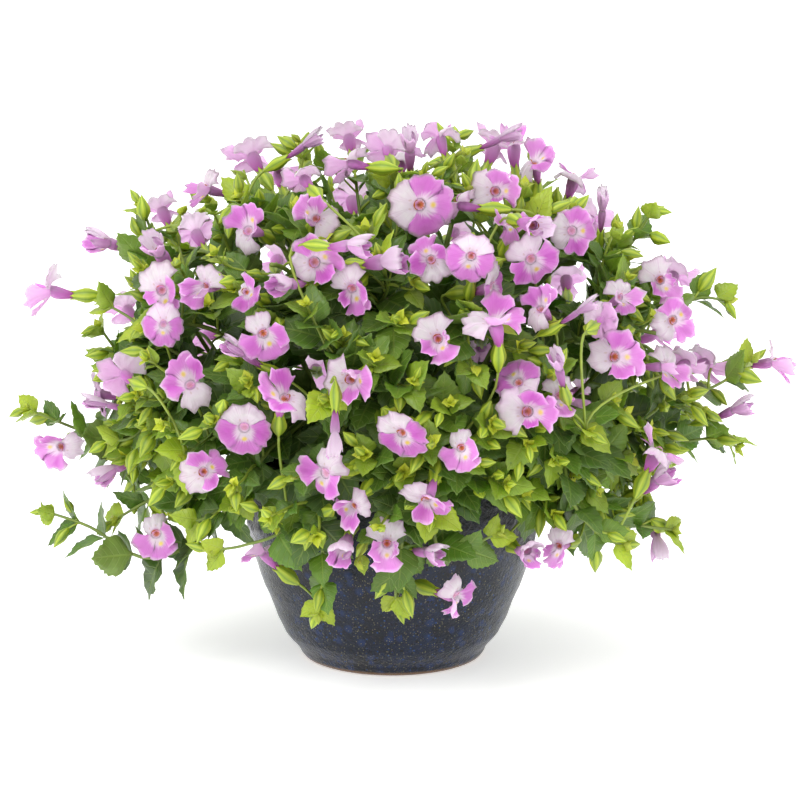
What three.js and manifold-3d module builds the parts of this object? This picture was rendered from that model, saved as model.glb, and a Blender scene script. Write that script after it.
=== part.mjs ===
// Potted wishbone flower: a wide mound of leafy stems and two-lipped blooms in a round glazed pot.
// Millimetres, +Z up, origin on the ground under the middle of the pot, front of the plant towards -Y.
import * as THREE from 'three';
import Module from 'manifold-3d';

const wasm = await Module();
wasm.setup();

// Driving dimensions
const clearance = 0.3;
const seamTolerance = 0.1;
const potHeight = 142;
const rimRadius = 103;
const footRadius = 58;
const footRingWidth = 18;
const potWall = 7;
const potFloor = 9;
const footRecess = 3;
const drainRadius = 10;
const soilTop = 120;
const stemCount = 22;
const stemRadius = 2.2;
const branchRadius = 1.5;
const stalkRadius = 0.9;
const rootDepth = 18;
const holeRadius = stemRadius + 0.85;
const canopy = { centreHeight: 186, halfWidth: 202, halfDepth: 186, halfHeight: 160 };
const lowestPolarAngle = 1.95;
const branchTipCount = 54;
const branchTipSpacing = 58;
const leafThickness = 1.4;
const limbDepth = 17;
const calyxLength = 19;
const calyxRadius = 4.4;
const budLength = 26;
const budRadius = 3.8;
const blossomNodeCount = 34;
const bloomPushes = [0, -6, 6, -12, 12, -18, 18, -26, 26, -36, -48, 36, 48];
const bloomRoom = 7.5;
const backBloomCount = 24;
const backShootCount = 7;
const backBloomReach = 1.06;
const sideBloomDepth = -15;
const bodyRoom = clearance + 2 * seamTolerance;

// The front view that the places below are read from: 800 x 800 pixels, 1.5 pixels to a millimetre
// at the middle of the plant, seen from 2.2 m away and a little above.
const pixelsPerMm = 1.5;
const viewTilt = THREE.MathUtils.degToRad(12);
const viewDistance = 2200;
const viewMiddle = 400;
const viewTarget = new THREE.Vector3(5, 0, 173.7);

// Blooms in the front view: x and y in pixels, width in pixels, turn to the right and up in degrees,
// and the clock hour that the pale upper lip points to. The first ones get a node of their own.
const bloomsSeen = [
  [48, 295, 54, -90, 0, 12], [163, 295, 56, -15, 5, 11], [187, 380, 52, -10, 40, 5],
  [250, 226, 52, -25, 25, 7], [319, 260, 57, 0, 0, 8], [425, 205, 60, -5, 5, 9],
  [266, 338, 50, 10, -10, 11], [280, 396, 54, 5, 55, 3], [244, 433, 52, -5, -5, 12],
  [207, 470, 48, -5, 5, 8], [355, 380, 54, -15, 0, 9], [403, 438, 50, -30, -15, 11],
  [322, 478, 54, -40, 0, 1], [387, 549, 50, 0, 0, 12], [458, 600, 46, 55, -10, 11, -142],
  [440, 343, 50, -5, 10, 11], [499, 320, 60, 0, 75, 9], [533, 412, 58, 0, 5, 9],
  [500, 191, 52, -5, 10, 9], [538, 160, 42, 0, 70, 8], [577, 231, 50, 5, 5, 9],
  [429, 256, 46, 0, 5, 5], [470, 261, 48, 0, -5, 12.5], [534, 264, 54, 10, -5, 11],
  [663, 284, 48, 10, 5, 11], [677, 318, 48, 15, 5, 8], [620, 357, 56, 10, 5, 9],
  [706, 366, 50, 140, 0, 1], [775, 366, 46, 75, 0, 12], [657, 450, 52, 140, 50, 1],
  [158, 538, 50, -5, 0, 11, -75], [56, 447, 46, -20, 0, 3], [122, 377, 46, -150, 0, 1],
  [437, 136, 42, -150, 50, 1],
  [105, 246, 32, -50, 10, 12], [160, 254, 32, -30, 45, 11], [203, 290, 42, -35, 0, 1],
  [163, 327, 40, 0, 30, 12], [205, 192, 42, -55, 10, 12], [303, 181, 42, -160, 10, 12],
  [312, 216, 46, 0, 25, 4], [353, 249, 30, 60, 0, 11], [286, 287, 28, -40, 0, 1],
  [248, 293, 38, -20, 20, 10], [388, 262, 34, 65, 10, 9], [354, 293, 48, -10, -10, 11],
  [346, 166, 44, -110, 0, 12], [385, 151, 42, -170, 10, 1], [455, 208, 42, -100, 0, 12],
  [350, 508, 38, -30, -20, 2], [430, 502, 50, -10, -35, 10], [463, 452, 44, -10, 0, 11],
  [516, 378, 46, -15, 35, 5], [560, 400, 42, 15, 10, 12], [495, 290, 46, 60, 10, 11],
  [543, 305, 42, -20, 40, 7], [510, 224, 36, 10, 50, 12], [530, 226, 32, 20, 0, 3],
  [622, 300, 36, 30, 20, 12], [603, 321, 36, 160, 0, 10], [665, 370, 40, 50, 0, 1],
  [686, 366, 44, 150, 0, 1], [737, 412, 26, 60, 20, 12], [662, 482, 34, 60, 30, 11],
  [656, 541, 24, 20, -60, 12, -60], [114, 473, 28, -70, -30, 12, -40], [258, 553, 42, -70, 40, 12, -112],
  [344, 551, 34, -10, -20, 12], [430, 556, 28, 40, 0, 12], [528, 556, 34, 20, 0, 12],
  [558, 550, 38, -25, 0, 12], [335, 437, 20, 0, -60, 12], [240, 355, 22, -60, 30, 12],
  [308, 146, 20, 70, 30, 12], [410, 150, 24, 0, 60, 12], [504, 140, 20, 80, 20, 12],
  [603, 209, 18, 10, 70, 12], [103, 406, 18, -80, 10, 12], [582, 312, 16, 60, 30, 12],
  [558, 369, 20, -20, 50, 12],
];

// Long shoots in the front view, from the mound out to the tip: x and y in pixels and the distance
// behind the middle of the plant in millimetres.
const shootsSeen = [
  [[175, 300, -20], [141, 258, -10], [150, 232, 0], [142, 208, 5]],
  [[190, 360, -40], [150, 335, -30], [130, 318, -20], [106, 304, -15]],
  [[200, 400, 20], [150, 388, 20], [118, 352, 15], [100, 328, 10]],
  [[200, 428, -10], [115, 440, -15], [80, 430, -15], [30, 410, -20]],
  [[200, 400, -60], [160, 416, -60], [130, 438, -60], [112, 440, -60]],
  [[220, 520, -60], [150, 558, -60], [90, 527, -50], [48, 512, -45]],
  [[230, 440, -30], [175, 485, -35], [140, 505, -35], [118, 518, -35]],
  [[270, 450, -100], [240, 495, -110], [205, 518, -110], [190, 520, -110]],
  [[320, 470, -110], [285, 528, -125], [245, 545, -125], [215, 550, -125]],
  [[600, 320, 20], [590, 290, 15], [625, 252, 5], [652, 212, 0]],
  [[640, 330, -20], [668, 310, -10], [700, 298, -5], [724, 300, 0]],
  [[620, 420, -40], [665, 404, -30], [715, 386, -20], [752, 362, -15]],
  [[620, 430, -10], [670, 442, -10], [715, 438, -10], [735, 446, -10]],
  [[540, 500, -90], [590, 522, -80], [640, 526, -70], [672, 530, -65]],
  [[560, 440, -110], [572, 500, -125], [600, 535, -120], [622, 545, -115]],
  [[330, 460, -120], [316, 520, -135], [325, 565, -130], [318, 610, -125]],
  [[450, 470, -125], [434, 530, -140], [450, 553, -140], [496, 534, -138]],
  [[400, 470, -130], [402, 540, -146], [396, 575, -142], [396, 604, -138]],
];

const parkMiller = 16807;
const parkMillerRange = 2147483647;

function randomFrom(seed) {
  let state = seed;
  return () => {
    state = (state * parkMiller) % parkMillerRange;
    return state / parkMillerRange;
  };
}

const vector = (x, y, z) => new THREE.Vector3(x, y, z);
const upwards = vector(0, 0, 1);
const goldenAngle = Math.PI * (3 - Math.sqrt(5));

// The point at a distance from `start` along `direction`.
function along(start, direction, distance) {
  return start.clone().addScaledVector(direction, distance);
}

// The part of `direction` square to `axis`, at unit length.
function squareTo(direction, axis) {
  const across = direction.clone().addScaledVector(axis, -direction.dot(axis));
  if (across.length() < 0.05) across.set(axis.z, 0.3, -axis.x).projectOnPlane(axis);
  return across.normalize();
}

// Faces between two rings of corners, which start at `from` and `to` and may differ in number.
function band(from, fromCount, to, toCount) {
  const faces = [];
  const fromSteps = fromCount > 1 ? fromCount : 0;
  const toSteps = toCount > 1 ? toCount : 0;
  let one = 0;
  let other = 0;
  while (one < fromSteps || other < toSteps) {
    const here = from + (one % fromCount);
    const there = to + (other % toCount);
    const fromNext = one < fromSteps ? (one + 1) / fromSteps : 2;
    const toNext = other < toSteps ? (other + 1) / toSteps : 2;
    if (fromNext <= toNext) {
      one += 1;
      faces.push(here, from + (one % fromCount), there);
    } else {
      other += 1;
      faces.push(here, to + (other % toCount), there);
    }
  }
  return faces;
}

// Faces of the flat end on a ring of corners that starts at `start`.
function flatEnd(start, count) {
  const faces = [];
  for (let corner = 1; corner + 1 < count; corner += 1) faces.push(start, start + corner, start + corner + 1);
  return faces;
}

// Closed solid through a row of rings of corners; a ring of one corner is a point.
function skin(rings) {
  const faces = [];
  let start = 0;
  rings.forEach((ring, place) => {
    const next = start + ring.length;
    if (place === 0) faces.push(...flatEnd(start, ring.length).reverse());
    if (place + 1 < rings.length) faces.push(...band(start, ring.length, next, rings[place + 1].length));
    else faces.push(...flatEnd(start, ring.length));
    start = next;
  });
  return solid(rings.flat(), faces);
}

function solid(points, faces) {
  const vertProperties = new Float32Array(points.flatMap((point) => [point.x, point.y, point.z]));
  const triVerts = new Uint32Array(faces);
  return new wasm.Manifold(new wasm.Mesh({ numProp: 3, vertProperties, triVerts }));
}

function latheSolid(profile, segments) {
  const outline = profile.map(([radius, height]) => new THREE.Vector2(radius, height));
  const lathe = new THREE.LatheGeometry(outline, segments);
  const places = new Map();
  const points = [];
  const index = [];
  const spot = vector(0, 0, 0);
  for (let vertex = 0; vertex < lathe.attributes.position.count; vertex += 1) {
    spot.fromBufferAttribute(lathe.attributes.position, vertex);
    spot.set(spot.x, -spot.z, spot.y);
    const key = spot.toArray().map((value) => Math.round(value * 1000) + 0).join();
    if (!places.has(key)) {
      places.set(key, points.length);
      points.push(spot.clone());
    }
    index.push(places.get(key));
  }
  const faces = [];
  for (let corner = 0; corner < lathe.index.count; corner += 3) {
    const face = [0, 1, 2].map((step) => index[lathe.index.getX(corner + step)]);
    if (new Set(face).size === 3) faces.push(...face);
  }
  const turned = solid(points, faces);
  if (turned.volume() > 0) return turned;
  return solid(points, faces.map((_, place) => faces[faces.length - 1 - place]));
}

// Ring of corners around `centre`, square to `direction`, with its first corner towards `side`.
function ringAround(centre, direction, side, radius, corners, startTurn = 0) {
  const first = squareTo(side, direction);
  const second = direction.clone().cross(first);
  return Array.from({ length: corners }, (_, corner) => {
    const turn = startTurn + (corner / corners) * 2 * Math.PI;
    return centre.clone().addScaledVector(first, radius * Math.cos(turn))
      .addScaledVector(second, radius * Math.sin(turn));
  });
}

// Tapering round shoot along a row of points.
function shootRings(points, startRadius, endRadius, corners, side) {
  return points.map((point, place) => {
    const before = points[Math.max(place - 1, 0)];
    const after = points[Math.min(place + 1, points.length - 1)];
    const direction = after.clone().sub(before).normalize();
    const radius = THREE.MathUtils.lerp(startRadius, endRadius, place / (points.length - 1));
    return ringAround(point, direction, side, radius, corners);
  });
}

function curvePoints(curve, steps) {
  return Array.from({ length: steps + 1 }, (_, step) => curve.getPoint(step / steps));
}

// Outer half of the pot: a belly that swells quickly above a narrow foot and leans out to the rim.
const potOutline = [
  [footRadius, 0], [65, 8], [73.3, 18.3], [81.5, 38.6], [90, 59], [98, 92],
  [rimRadius, potHeight - 5], [rimRadius - 2, potHeight],
];

function radiusAt(outline, height) {
  const place = Math.max(1, outline.findIndex(([, top]) => height <= top));
  const [lowRadius, low] = outline[place - 1];
  const [highRadius, high] = outline[place];
  return THREE.MathUtils.mapLinear(height, low, high, lowRadius, highRadius);
}

const potInside = [20, 59, 112, potHeight].map((height) => [radiusAt(potOutline, height) - potWall, height]);

function buildPot() {
  const ringInner = footRadius - footRingWidth;
  const profile = [
    ...potOutline, ...potInside.toReversed(), [footRadius, potFloor], [drainRadius, potFloor],
    [drainRadius, footRecess], [ringInner - 2, footRecess], [ringInner, 0], [footRadius, 0],
  ];
  return latheSolid(profile, 24);
}

function buildSoil(holes) {
  const side = potInside.filter(([, height]) => height < soilTop)
    .map(([radius, height]) => [radius - clearance, height]);
  const topRadius = radiusAt(potInside, soilTop) - clearance;
  const profile = [
    [0, potFloor + clearance], [footRadius - 1, potFloor + clearance],
    ...side, [topRadius, soilTop], [topRadius - 12, soilTop + 1.5], [0, soilTop + 3],
  ];
  const cutters = holes.map(([x, y]) => {
    const low = vector(x, y, soilTop - rootDepth - clearance);
    const high = vector(x, y, soilTop + 20);
    return skin([low, high].map((centre) => ringAround(centre, upwards, vector(1, 0, 0), holeRadius, 6)));
  });
  return cutters.reduce((body, cutter) => body.subtract(cutter), latheSolid(profile, 24));
}

// Space taken up so far, as sample points with an owner.
const taken = [];

function isFree(points, owner, room, ownRoom) {
  return points.every((point) => taken.every((other) => {
    const distance = other.owner === owner ? ownRoom : room;
    return Math.abs(other.point.x - point.x) > distance || point.distanceTo(other.point) > distance;
  }));
}

function take(points, owner) {
  points.forEach((point) => taken.push({ point, owner }));
}

// Clear of the pot's wall, of the soil and of the ground.
function clearOfPot(points, room) {
  return points.every(({ x, y, z }) => {
    const reach = Math.hypot(x, y);
    if (z < 14) return false;
    if (z > potHeight + room) return true;
    if (reach < radiusAt(potInside, soilTop) - room) return z > soilTop + 3 + room;
    return z > potHeight || reach > radiusAt(potOutline, z) + room;
  });
}

function canopyNormal(point) {
  return vector(
    point.x / canopy.halfWidth ** 2, point.y / canopy.halfDepth ** 2,
    (point.z - canopy.centreHeight) / canopy.halfHeight ** 2,
  ).normalize();
}

function canopyPoint(azimuth, polar, share) {
  return vector(
    share * canopy.halfWidth * Math.sin(polar) * Math.cos(azimuth),
    share * canopy.halfDepth * Math.sin(polar) * Math.sin(azimuth),
    canopy.centreHeight + share * canopy.halfHeight * Math.cos(polar),
  );
}

// Line of sight through a pixel of the front view.
const viewForward = vector(0, Math.cos(viewTilt), -Math.sin(viewTilt));
const viewUp = vector(0, Math.sin(viewTilt), Math.cos(viewTilt));
const viewPoint = along(viewTarget, viewForward, -viewDistance);

function sightLine(x, y) {
  return along(viewTarget, vector(1, 0, 0), (x - viewMiddle) / pixelsPerMm)
    .addScaledVector(viewUp, (viewMiddle - y) / pixelsPerMm).sub(viewPoint).normalize();
}

// Where a pixel's line of sight meets the plane `depth` behind the middle of the plant.
function seenAtDepth(x, y, depth) {
  const line = sightLine(x, y);
  return along(viewPoint, line, (depth - viewPoint.y) / line.y);
}

// Where a pixel's line of sight meets the front of the mound, or an upright plane beside the mound.
function seenOnMound(x, y, depthBeside) {
  const line = sightLine(x, y);
  const scale = vector(1 / canopy.halfWidth, 1 / canopy.halfDepth, 1 / canopy.halfHeight);
  const start = viewPoint.clone().sub(vector(0, 0, canopy.centreHeight)).multiply(scale);
  const step = line.clone().multiply(scale);
  const a = step.dot(step);
  const b = start.dot(step);
  const root = b * b - a * (start.dot(start) - 1);
  if (root < 0 || depthBeside !== undefined) return seenAtDepth(x, y, depthBeside ?? sideBloomDepth);
  return along(viewPoint, line, (-b - Math.sqrt(root)) / a);
}

// Main stems: each rises from its hole in the soil and arches out to its own part of the mound.
const stems = Array.from({ length: stemCount }, (_, number) => {
  const share = (number + 0.5) / stemCount;
  const azimuth = number * goldenAngle - Math.PI / 2;
  const polar = Math.acos(1 - share * (1 - Math.cos(lowestPolarAngle)));
  const reach = 12 + 60 * Math.sqrt(share);
  const root = vector(reach * Math.cos(azimuth), reach * Math.sin(azimuth), soilTop - rootDepth);
  const collar = vector(root.x, root.y, soilTop + 4);
  const tip = canopyPoint(azimuth, polar, 0.93);
  const outwards = canopyNormal(tip);
  const lean = vector(tip.x, tip.y, 0).multiplyScalar(-0.28).add(vector(0, 0, 30 * polar - 20));
  const curve = new THREE.CubicBezierCurve3(
    collar, vector(root.x, root.y, soilTop + 58), tip.clone().add(lean).addScaledVector(outwards, -15), tip,
  );
  return {
    name: `leafy_stem_${String(number + 1).padStart(2, '0')}`,
    hole: [root.x, root.y],
    sideways: vector(-Math.sin(azimuth), Math.cos(azimuth), 0),
    branches: [{
      points: [root, ...curvePoints(curve, 7)], start: stemRadius, end: branchRadius, corners: 4,
    }],
    parts: [],
  };
});

function samplesAlong(points, spacing) {
  const samples = [];
  for (let place = 1; place < points.length; place += 1) {
    const steps = Math.ceil(points[place].distanceTo(points[place - 1]) / spacing);
    for (let step = 0; step < steps; step += 1) {
      samples.push(points[place - 1].clone().lerp(points[place], step / steps));
    }
  }
  samples.push(points.at(-1).clone());
  return samples;
}

stems.forEach((stem) => take(samplesAlong(stem.branches[0].points, 5), stem.name));

// Side branch from the nearest stem that it can leave without crossing another one.
function addBranch(waypoints, smooth) {
  const first = waypoints[0];
  const choices = [];
  stems.forEach((stem) => {
    samplesAlong(stem.branches[0].points, 12).forEach((point) => {
      const outwards = canopyNormal(first);
      const behind = first.clone().sub(point);
      const low = point.z < soilTop + 22 ? 200 : 0;
      choices.push({ stem, point, cost: behind.length() - 0.6 * behind.dot(outwards) + low });
    });
  });
  choices.sort((one, other) => one.cost - other.cost);
  for (const { stem, point } of choices.slice(0, 40)) {
    const curve = new THREE.CatmullRomCurve3([point, ...waypoints], false, 'catmullrom', 0.5);
    const points = curvePoints(curve, smooth);
    const samples = samplesAlong(points, 5);
    if (isFree(samples, stem.name, 6, 0) && clearOfPot(samples, 4)) {
      stem.branches.push({ points, start: branchRadius, end: stalkRadius, corners: 3 });
      take(samples, stem.name);
      return;
    }
  }
}

shootsSeen.forEach((shoot) => {
  addBranch(shoot.map(([x, y, depth]) => seenAtDepth(x, y, depth)), 7);
});

// Shoots that hang over the rim round the back, like those at the front.
for (let number = 0; number < backShootCount; number += 1) {
  const azimuth = Math.PI * (0.04 + 0.92 * (number + 0.5) / backShootCount);
  const bends = [[0, 1.5, 0.93], [0.07, 1.9, 1.03], [0.1, 2.2, 1.03]];
  addBranch(bends.map(([turn, polar, share]) => canopyPoint(azimuth + turn, polar, share)), 5);
}

for (let number = 0; number < branchTipCount; number += 1) {
  const share = (number + 0.5) / branchTipCount;
  const polar = Math.acos(1 - share * (1 - Math.cos(lowestPolarAngle)));
  const tip = canopyPoint(number * goldenAngle + 1, polar, 0.93);
  const tips = stems.flatMap(({ branches }) => branches.map(({ points }) => points.at(-1)));
  const nearest = Math.min(...tips.map((other) => other.distanceTo(tip)));
  const bend = along(tip, canopyNormal(tip), -45).add(vector(0, 0, 6));
  if (nearest > branchTipSpacing) addBranch([bend, tip], 4);
}

// Corolla: a tube that flares into a broad upper lip, two side lobes and a lower lobe, in that order
// around the rim: width of the lobe against the largest, half its opening angle, and how far it comes
// forward against the radius.
const lobes = [
  { reach: 1, halfAngle: 36, forward: -0.12 },
  { reach: 0.92, halfAngle: 27, forward: 0.12 },
  { reach: 0.95, halfAngle: 25, forward: 0.06 },
  { reach: 0.92, halfAngle: 27, forward: 0.12 },
];
const notch = { reach: 0.66, forward: 0.05 };

function rimPoints(bloom) {
  const second = bloom.facing.clone().cross(bloom.lip);
  const spot = (degrees, reach, forward) => {
    const turn = THREE.MathUtils.degToRad(degrees);
    return bloom.middle.clone().addScaledVector(bloom.lip, reach * bloom.radius * Math.cos(turn))
      .addScaledVector(second, reach * bloom.radius * Math.sin(turn))
      .addScaledVector(bloom.facing, forward * bloom.radius);
  };
  return lobes.flatMap(({ reach, halfAngle, forward }, place) => [
    spot(90 * place - halfAngle, reach, forward),
    spot(90 * place + halfAngle, reach, forward),
    spot(90 * place + 45, notch.reach, notch.forward),
  ]);
}

function bloomSamples(bloom) {
  const rim = rimPoints(bloom);
  const half = rim.map((point) => point.clone().lerp(bloom.middle, 0.5));
  const tube = [0, 0.5, 1].map((share) => along(bloom.middle, bloom.facing, -limbDepth * share));
  const calyx = [0.4, 0.8].map((share) => (
    along(bloom.middle, bloom.facing, -limbDepth - calyxLength * share)
  ));
  return [...rim, ...half, ...tube, ...calyx];
}

// The limb flares from the last of the `backRings` to the lobed rim and comes back to a shallow throat.
function limbSolid(bloom, backRings) {
  const narrow = bloom.radius > 10 ? 1 : 0.7;
  const collar = (depth, radius) => ringAround(
    along(bloom.middle, bloom.facing, -depth), bloom.facing, bloom.lip, narrow * radius, 4,
  );
  const rings = [...backRings, collar(4, 4.2)];
  const rim = rimPoints(bloom);
  const throat = collar(1.5, 3.4);
  const faces = [];
  let start = 0;
  faces.push(...flatEnd(0, rings[0].length).reverse());
  rings.slice(0, -1).forEach((ring, place) => {
    faces.push(...band(start, ring.length, start + ring.length, rings[place + 1].length));
    start += ring.length;
  });
  const rimStart = start + 4;
  const throatStart = rimStart + rim.length;
  for (let lobe = 0; lobe < 4; lobe += 1) {
    const next = (lobe + 1) % 4;
    const right = rimStart + lobe * 3;
    const left = right + 1;
    const dip = right + 2;
    const nextRight = rimStart + next * 3;
    const back = start + lobe;
    const nextBack = start + next;
    const front = throatStart + lobe;
    const nextFront = throatStart + next;
    faces.push(back, left, right, back, dip, left, back, nextBack, dip, nextBack, nextRight, dip);
    faces.push(front, right, left, front, left, dip, front, dip, nextFront, nextFront, dip, nextRight);
  }
  faces.push(...flatEnd(throatStart, throat.length));
  return solid([...rings.flat(), ...rim, ...throat], faces);
}

const blooms = [];

// Puts a bloom at the first of a few places, nearer or further, where nothing else is yet.
function placeBloom(spotAt, facing, lip, radius) {
  for (const push of bloomPushes) {
    const middle = spotAt(push);
    const bloom = { middle, facing, lip: squareTo(lip, facing), radius };
    const samples = bloomSamples(bloom);
    if (isFree(samples, 'bloom', bloomRoom, bloomRoom) && clearOfPot(samples, 4)) {
      blooms.push(bloom);
      take(samples, `corolla_${blooms.length}`);
      return;
    }
  }
}

bloomsSeen.forEach(([x, y, width, turnRight, turnUp, hour, depthBeside]) => {
  const yaw = THREE.MathUtils.degToRad(turnRight);
  const pitch = THREE.MathUtils.degToRad(turnUp);
  const facing = vector(Math.sin(yaw) * Math.cos(pitch), -Math.cos(yaw) * Math.cos(pitch), Math.sin(pitch));
  const clock = (hour / 12) * 2 * Math.PI;
  const lip = vector(Math.sin(clock), 0, Math.cos(clock));
  const onMound = seenOnMound(x, y, depthBeside);
  const line = sightLine(x, y);
  placeBloom((push) => along(onMound, line, push), facing, lip, width / pixelsPerMm / 2);
});

const backRandom = randomFrom(4711);
for (let number = 0; number < backBloomCount; number += 1) {
  const azimuth = Math.PI * (0.06 + 0.88 * ((number * 0.618034) % 1));
  const polar = 0.35 + 1.5 * ((number + 0.5) / backBloomCount);
  const middle = canopyPoint(azimuth, polar, backBloomReach);
  const outwards = canopyNormal(middle);
  const sway = vector(backRandom() - 0.5, backRandom() - 0.3, backRandom() - 0.6);
  const facing = outwards.clone().add(sway).normalize();
  const lip = vector(backRandom() - 0.5, 0, 1);
  placeBloom((push) => along(middle, outwards, -Math.abs(push)), facing, lip, 14 + 4 * backRandom());
}

// Bodies that always stay, with the stem or the corolla that each belongs to.
const fixed = [];

function fix(body, owner) {
  fixed.push({ body, owner, box: body.boundingBox() });
}

function boxesNear(one, other) {
  const overlaps = (axis) => one.min[axis] < other.max[axis] + 1 && other.min[axis] < one.max[axis] + 1;
  return [0, 1, 2].every(overlaps);
}

function clearOfFixed(body, owners) {
  const box = body.boundingBox();
  const rivals = fixed.filter((other) => !owners.includes(other.owner) && boxesNear(box, other.box));
  return rivals.every((other) => body.minGap(other.body, bodyRoom) >= bodyRoom);
}

stems.forEach((stem) => stem.branches.forEach(({ points, start, end, corners }) => {
  const body = skin(shootRings(points, start, end, corners, stem.sideways));
  stem.parts.push({ body, kept: true });
  fix(body, stem.name);
}));

function calyxRings({ middle, facing, lip, radius }) {
  const ring = (depth, size, corners = 4) => (
    ringAround(along(middle, facing, -depth), facing, lip, size, corners)
  );
  const plump = radius > 10 ? calyxRadius : 0.8 * calyxRadius;
  return {
    stalkEnd: ring(limbDepth + calyxLength, stalkRadius, 3),
    belly: ring(limbDepth + 0.55 * calyxLength, plump),
    mouth: ring(limbDepth, 2.6),
    tubeStart: ring(limbDepth - clearance, 2),
  };
}

const corollas = blooms.map((bloom, number) => {
  const body = limbSolid(bloom, [calyxRings(bloom).tubeStart]);
  fix(body, `corolla_${number + 1}`);
  return body;
});

// Ways for a stalk from the calyx to the stems, the shortest and the most upright first.
function stalkRoutes({ middle, facing }) {
  const base = along(middle, facing, -limbDepth - calyxLength);
  const routes = [];
  stems.forEach((stem) => stem.branches.forEach((branch) => {
    samplesAlong(branch.points.slice(1), 9).forEach((point) => {
      const run = point.clone().sub(base);
      if (run.length() < 9) return;
      routes.push({ stem, point, base, cost: run.length() + 0.5 * run.dot(facing) + 0.35 * run.z });
    });
  }));
  return routes.sort((one, other) => one.cost - other.cost);
}

const blossoms = [];

function hangBloom(bloom, number) {
  const corolla = `corolla_${number + 1}`;
  const own = number < blossomNodeCount;
  const { stalkEnd, belly, mouth } = calyxRings(bloom);
  for (const { stem, point, base } of stalkRoutes(bloom)) {
    const distance = point.distanceTo(base);
    const curve = new THREE.CubicBezierCurve3(
      point, along(point, upwards, 0.25 * distance), along(base, bloom.facing, -0.35 * distance), base,
    );
    const points = curvePoints(curve, distance > 30 ? 2 : 1);
    const samples = samplesAlong(points, 4).slice(1);
    const stalk = shootRings(points, stalkRadius, stalkRadius, 3, bloom.lip).slice(0, -1);
    const rings = [...stalk, stalkEnd, belly, mouth];
    if (clearOfPot(samples, 2)) {
      const holder = skin(rings);
      if (clearOfFixed(holder, [stem.name, corolla])) {
        take(samples, stem.name);
        fix(holder, stem.name);
        stem.parts.push({ body: own ? holder : limbSolid(bloom, rings), kept: true });
        if (own) blossoms.push({ body: corollas[number], kept: true });
        return;
      }
    }
  }
}

blooms.forEach(hangBloom);

// Leaf: a thin blade with two teeth a side, thicker along its middle rib, drooping at its tip.
const leafSide = [[0.16, 0.035], [0.42, 0.4], [0.5, 0.32], [0.74, 0.22]];
const leafSamples = [[0.55, 0], [0.8, 0], [1, 0], [0.45, 0.3], [0.45, -0.3], [0.7, 0.18], [0.7, -0.18]];

function leafPoint(leaf, share, side, lift) {
  const height = 0.22 * Math.abs(side) - 0.16 * share * share;
  return leaf.base.clone().addScaledVector(leaf.direction, share * leaf.length)
    .addScaledVector(leaf.across, side * leaf.length)
    .addScaledVector(leaf.face, height * leaf.length + lift);
}

function leafSolid(leaf) {
  const right = leafSide.map(([share, side]) => leafPoint(leaf, share, -side, 0));
  const left = leafSide.map(([share, side]) => leafPoint(leaf, share, side, 0));
  const points = [
    leafPoint(leaf, 0, 0, 0), ...right, leafPoint(leaf, 1, 0, 0), ...left.reverse(),
    leafPoint(leaf, 0.36, 0, leafThickness / 2), leafPoint(leaf, 0.36, 0, -leafThickness / 2),
  ];
  const rim = 2 * leafSide.length + 2;
  const faces = [];
  for (let corner = 0; corner < rim; corner += 1) {
    const next = (corner + 1) % rim;
    faces.push(rim, corner, next, rim + 1, next, corner);
  }
  return solid(points, faces);
}

function placeLeaf(stem, base, direction, face, length) {
  for (const [turn, size] of [[0, 1], [0.5, 1], [-0.5, 1], [0, 0.75], [0.8, 0.75], [-0.8, 0.75]]) {
    const heading = direction.clone().applyAxisAngle(face, turn).normalize();
    const leafFace = squareTo(face, heading);
    const across = leafFace.clone().cross(heading);
    const leaf = { base, direction: heading, face: leafFace, across, length: length * size };
    const samples = leafSamples.map(([share, side]) => leafPoint(leaf, share, side, 0));
    if (isFree(samples, stem.name, 6.5, 4) && clearOfPot(samples, 4)) {
      take(samples, stem.name);
      stem.parts.push({ body: leafSolid(leaf), kept: false });
      return;
    }
  }
}

function placeBud(stem, base, direction, length) {
  const samples = [0.45, 0.7, 1].map((share) => along(base, direction, share * length));
  if (!isFree(samples, stem.name, 8, 5.5) || !clearOfPot(samples, 6)) return;
  take(samples, stem.name);
  const ring = (share, radius, corners) => ringAround(
    along(base, direction, share * length), direction, upwards, radius, corners,
  );
  const tip = along(base, direction, length);
  const rings = [ring(0, 0.7, 3), ring(0.36, 0.8, 3), ring(0.62, budRadius, 4), [tip]];
  stem.parts.push({ body: skin(rings), kept: false });
}

// Leaf pairs and buds along every branch, each pair square to the last, with a tuft at the tip.
const leafRandom = randomFrom(90210);
const leafPairs = [
  { fromTip: 6, length: 27, spread: 1 },
  { fromTip: 42, length: 40, spread: 1.3 },
];

function pointFromTip(points, distance) {
  let left = distance;
  for (let place = points.length - 1; place > 0; place -= 1) {
    const step = points[place].distanceTo(points[place - 1]);
    if (left <= step) {
      return {
        point: points[place].clone().lerp(points[place - 1], left / step),
        direction: points[place].clone().sub(points[place - 1]).normalize(),
      };
    }
    left -= step;
  }
  return null;
}

const inMouth = (point) => Math.hypot(point.x, point.y) < rimRadius;

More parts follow.
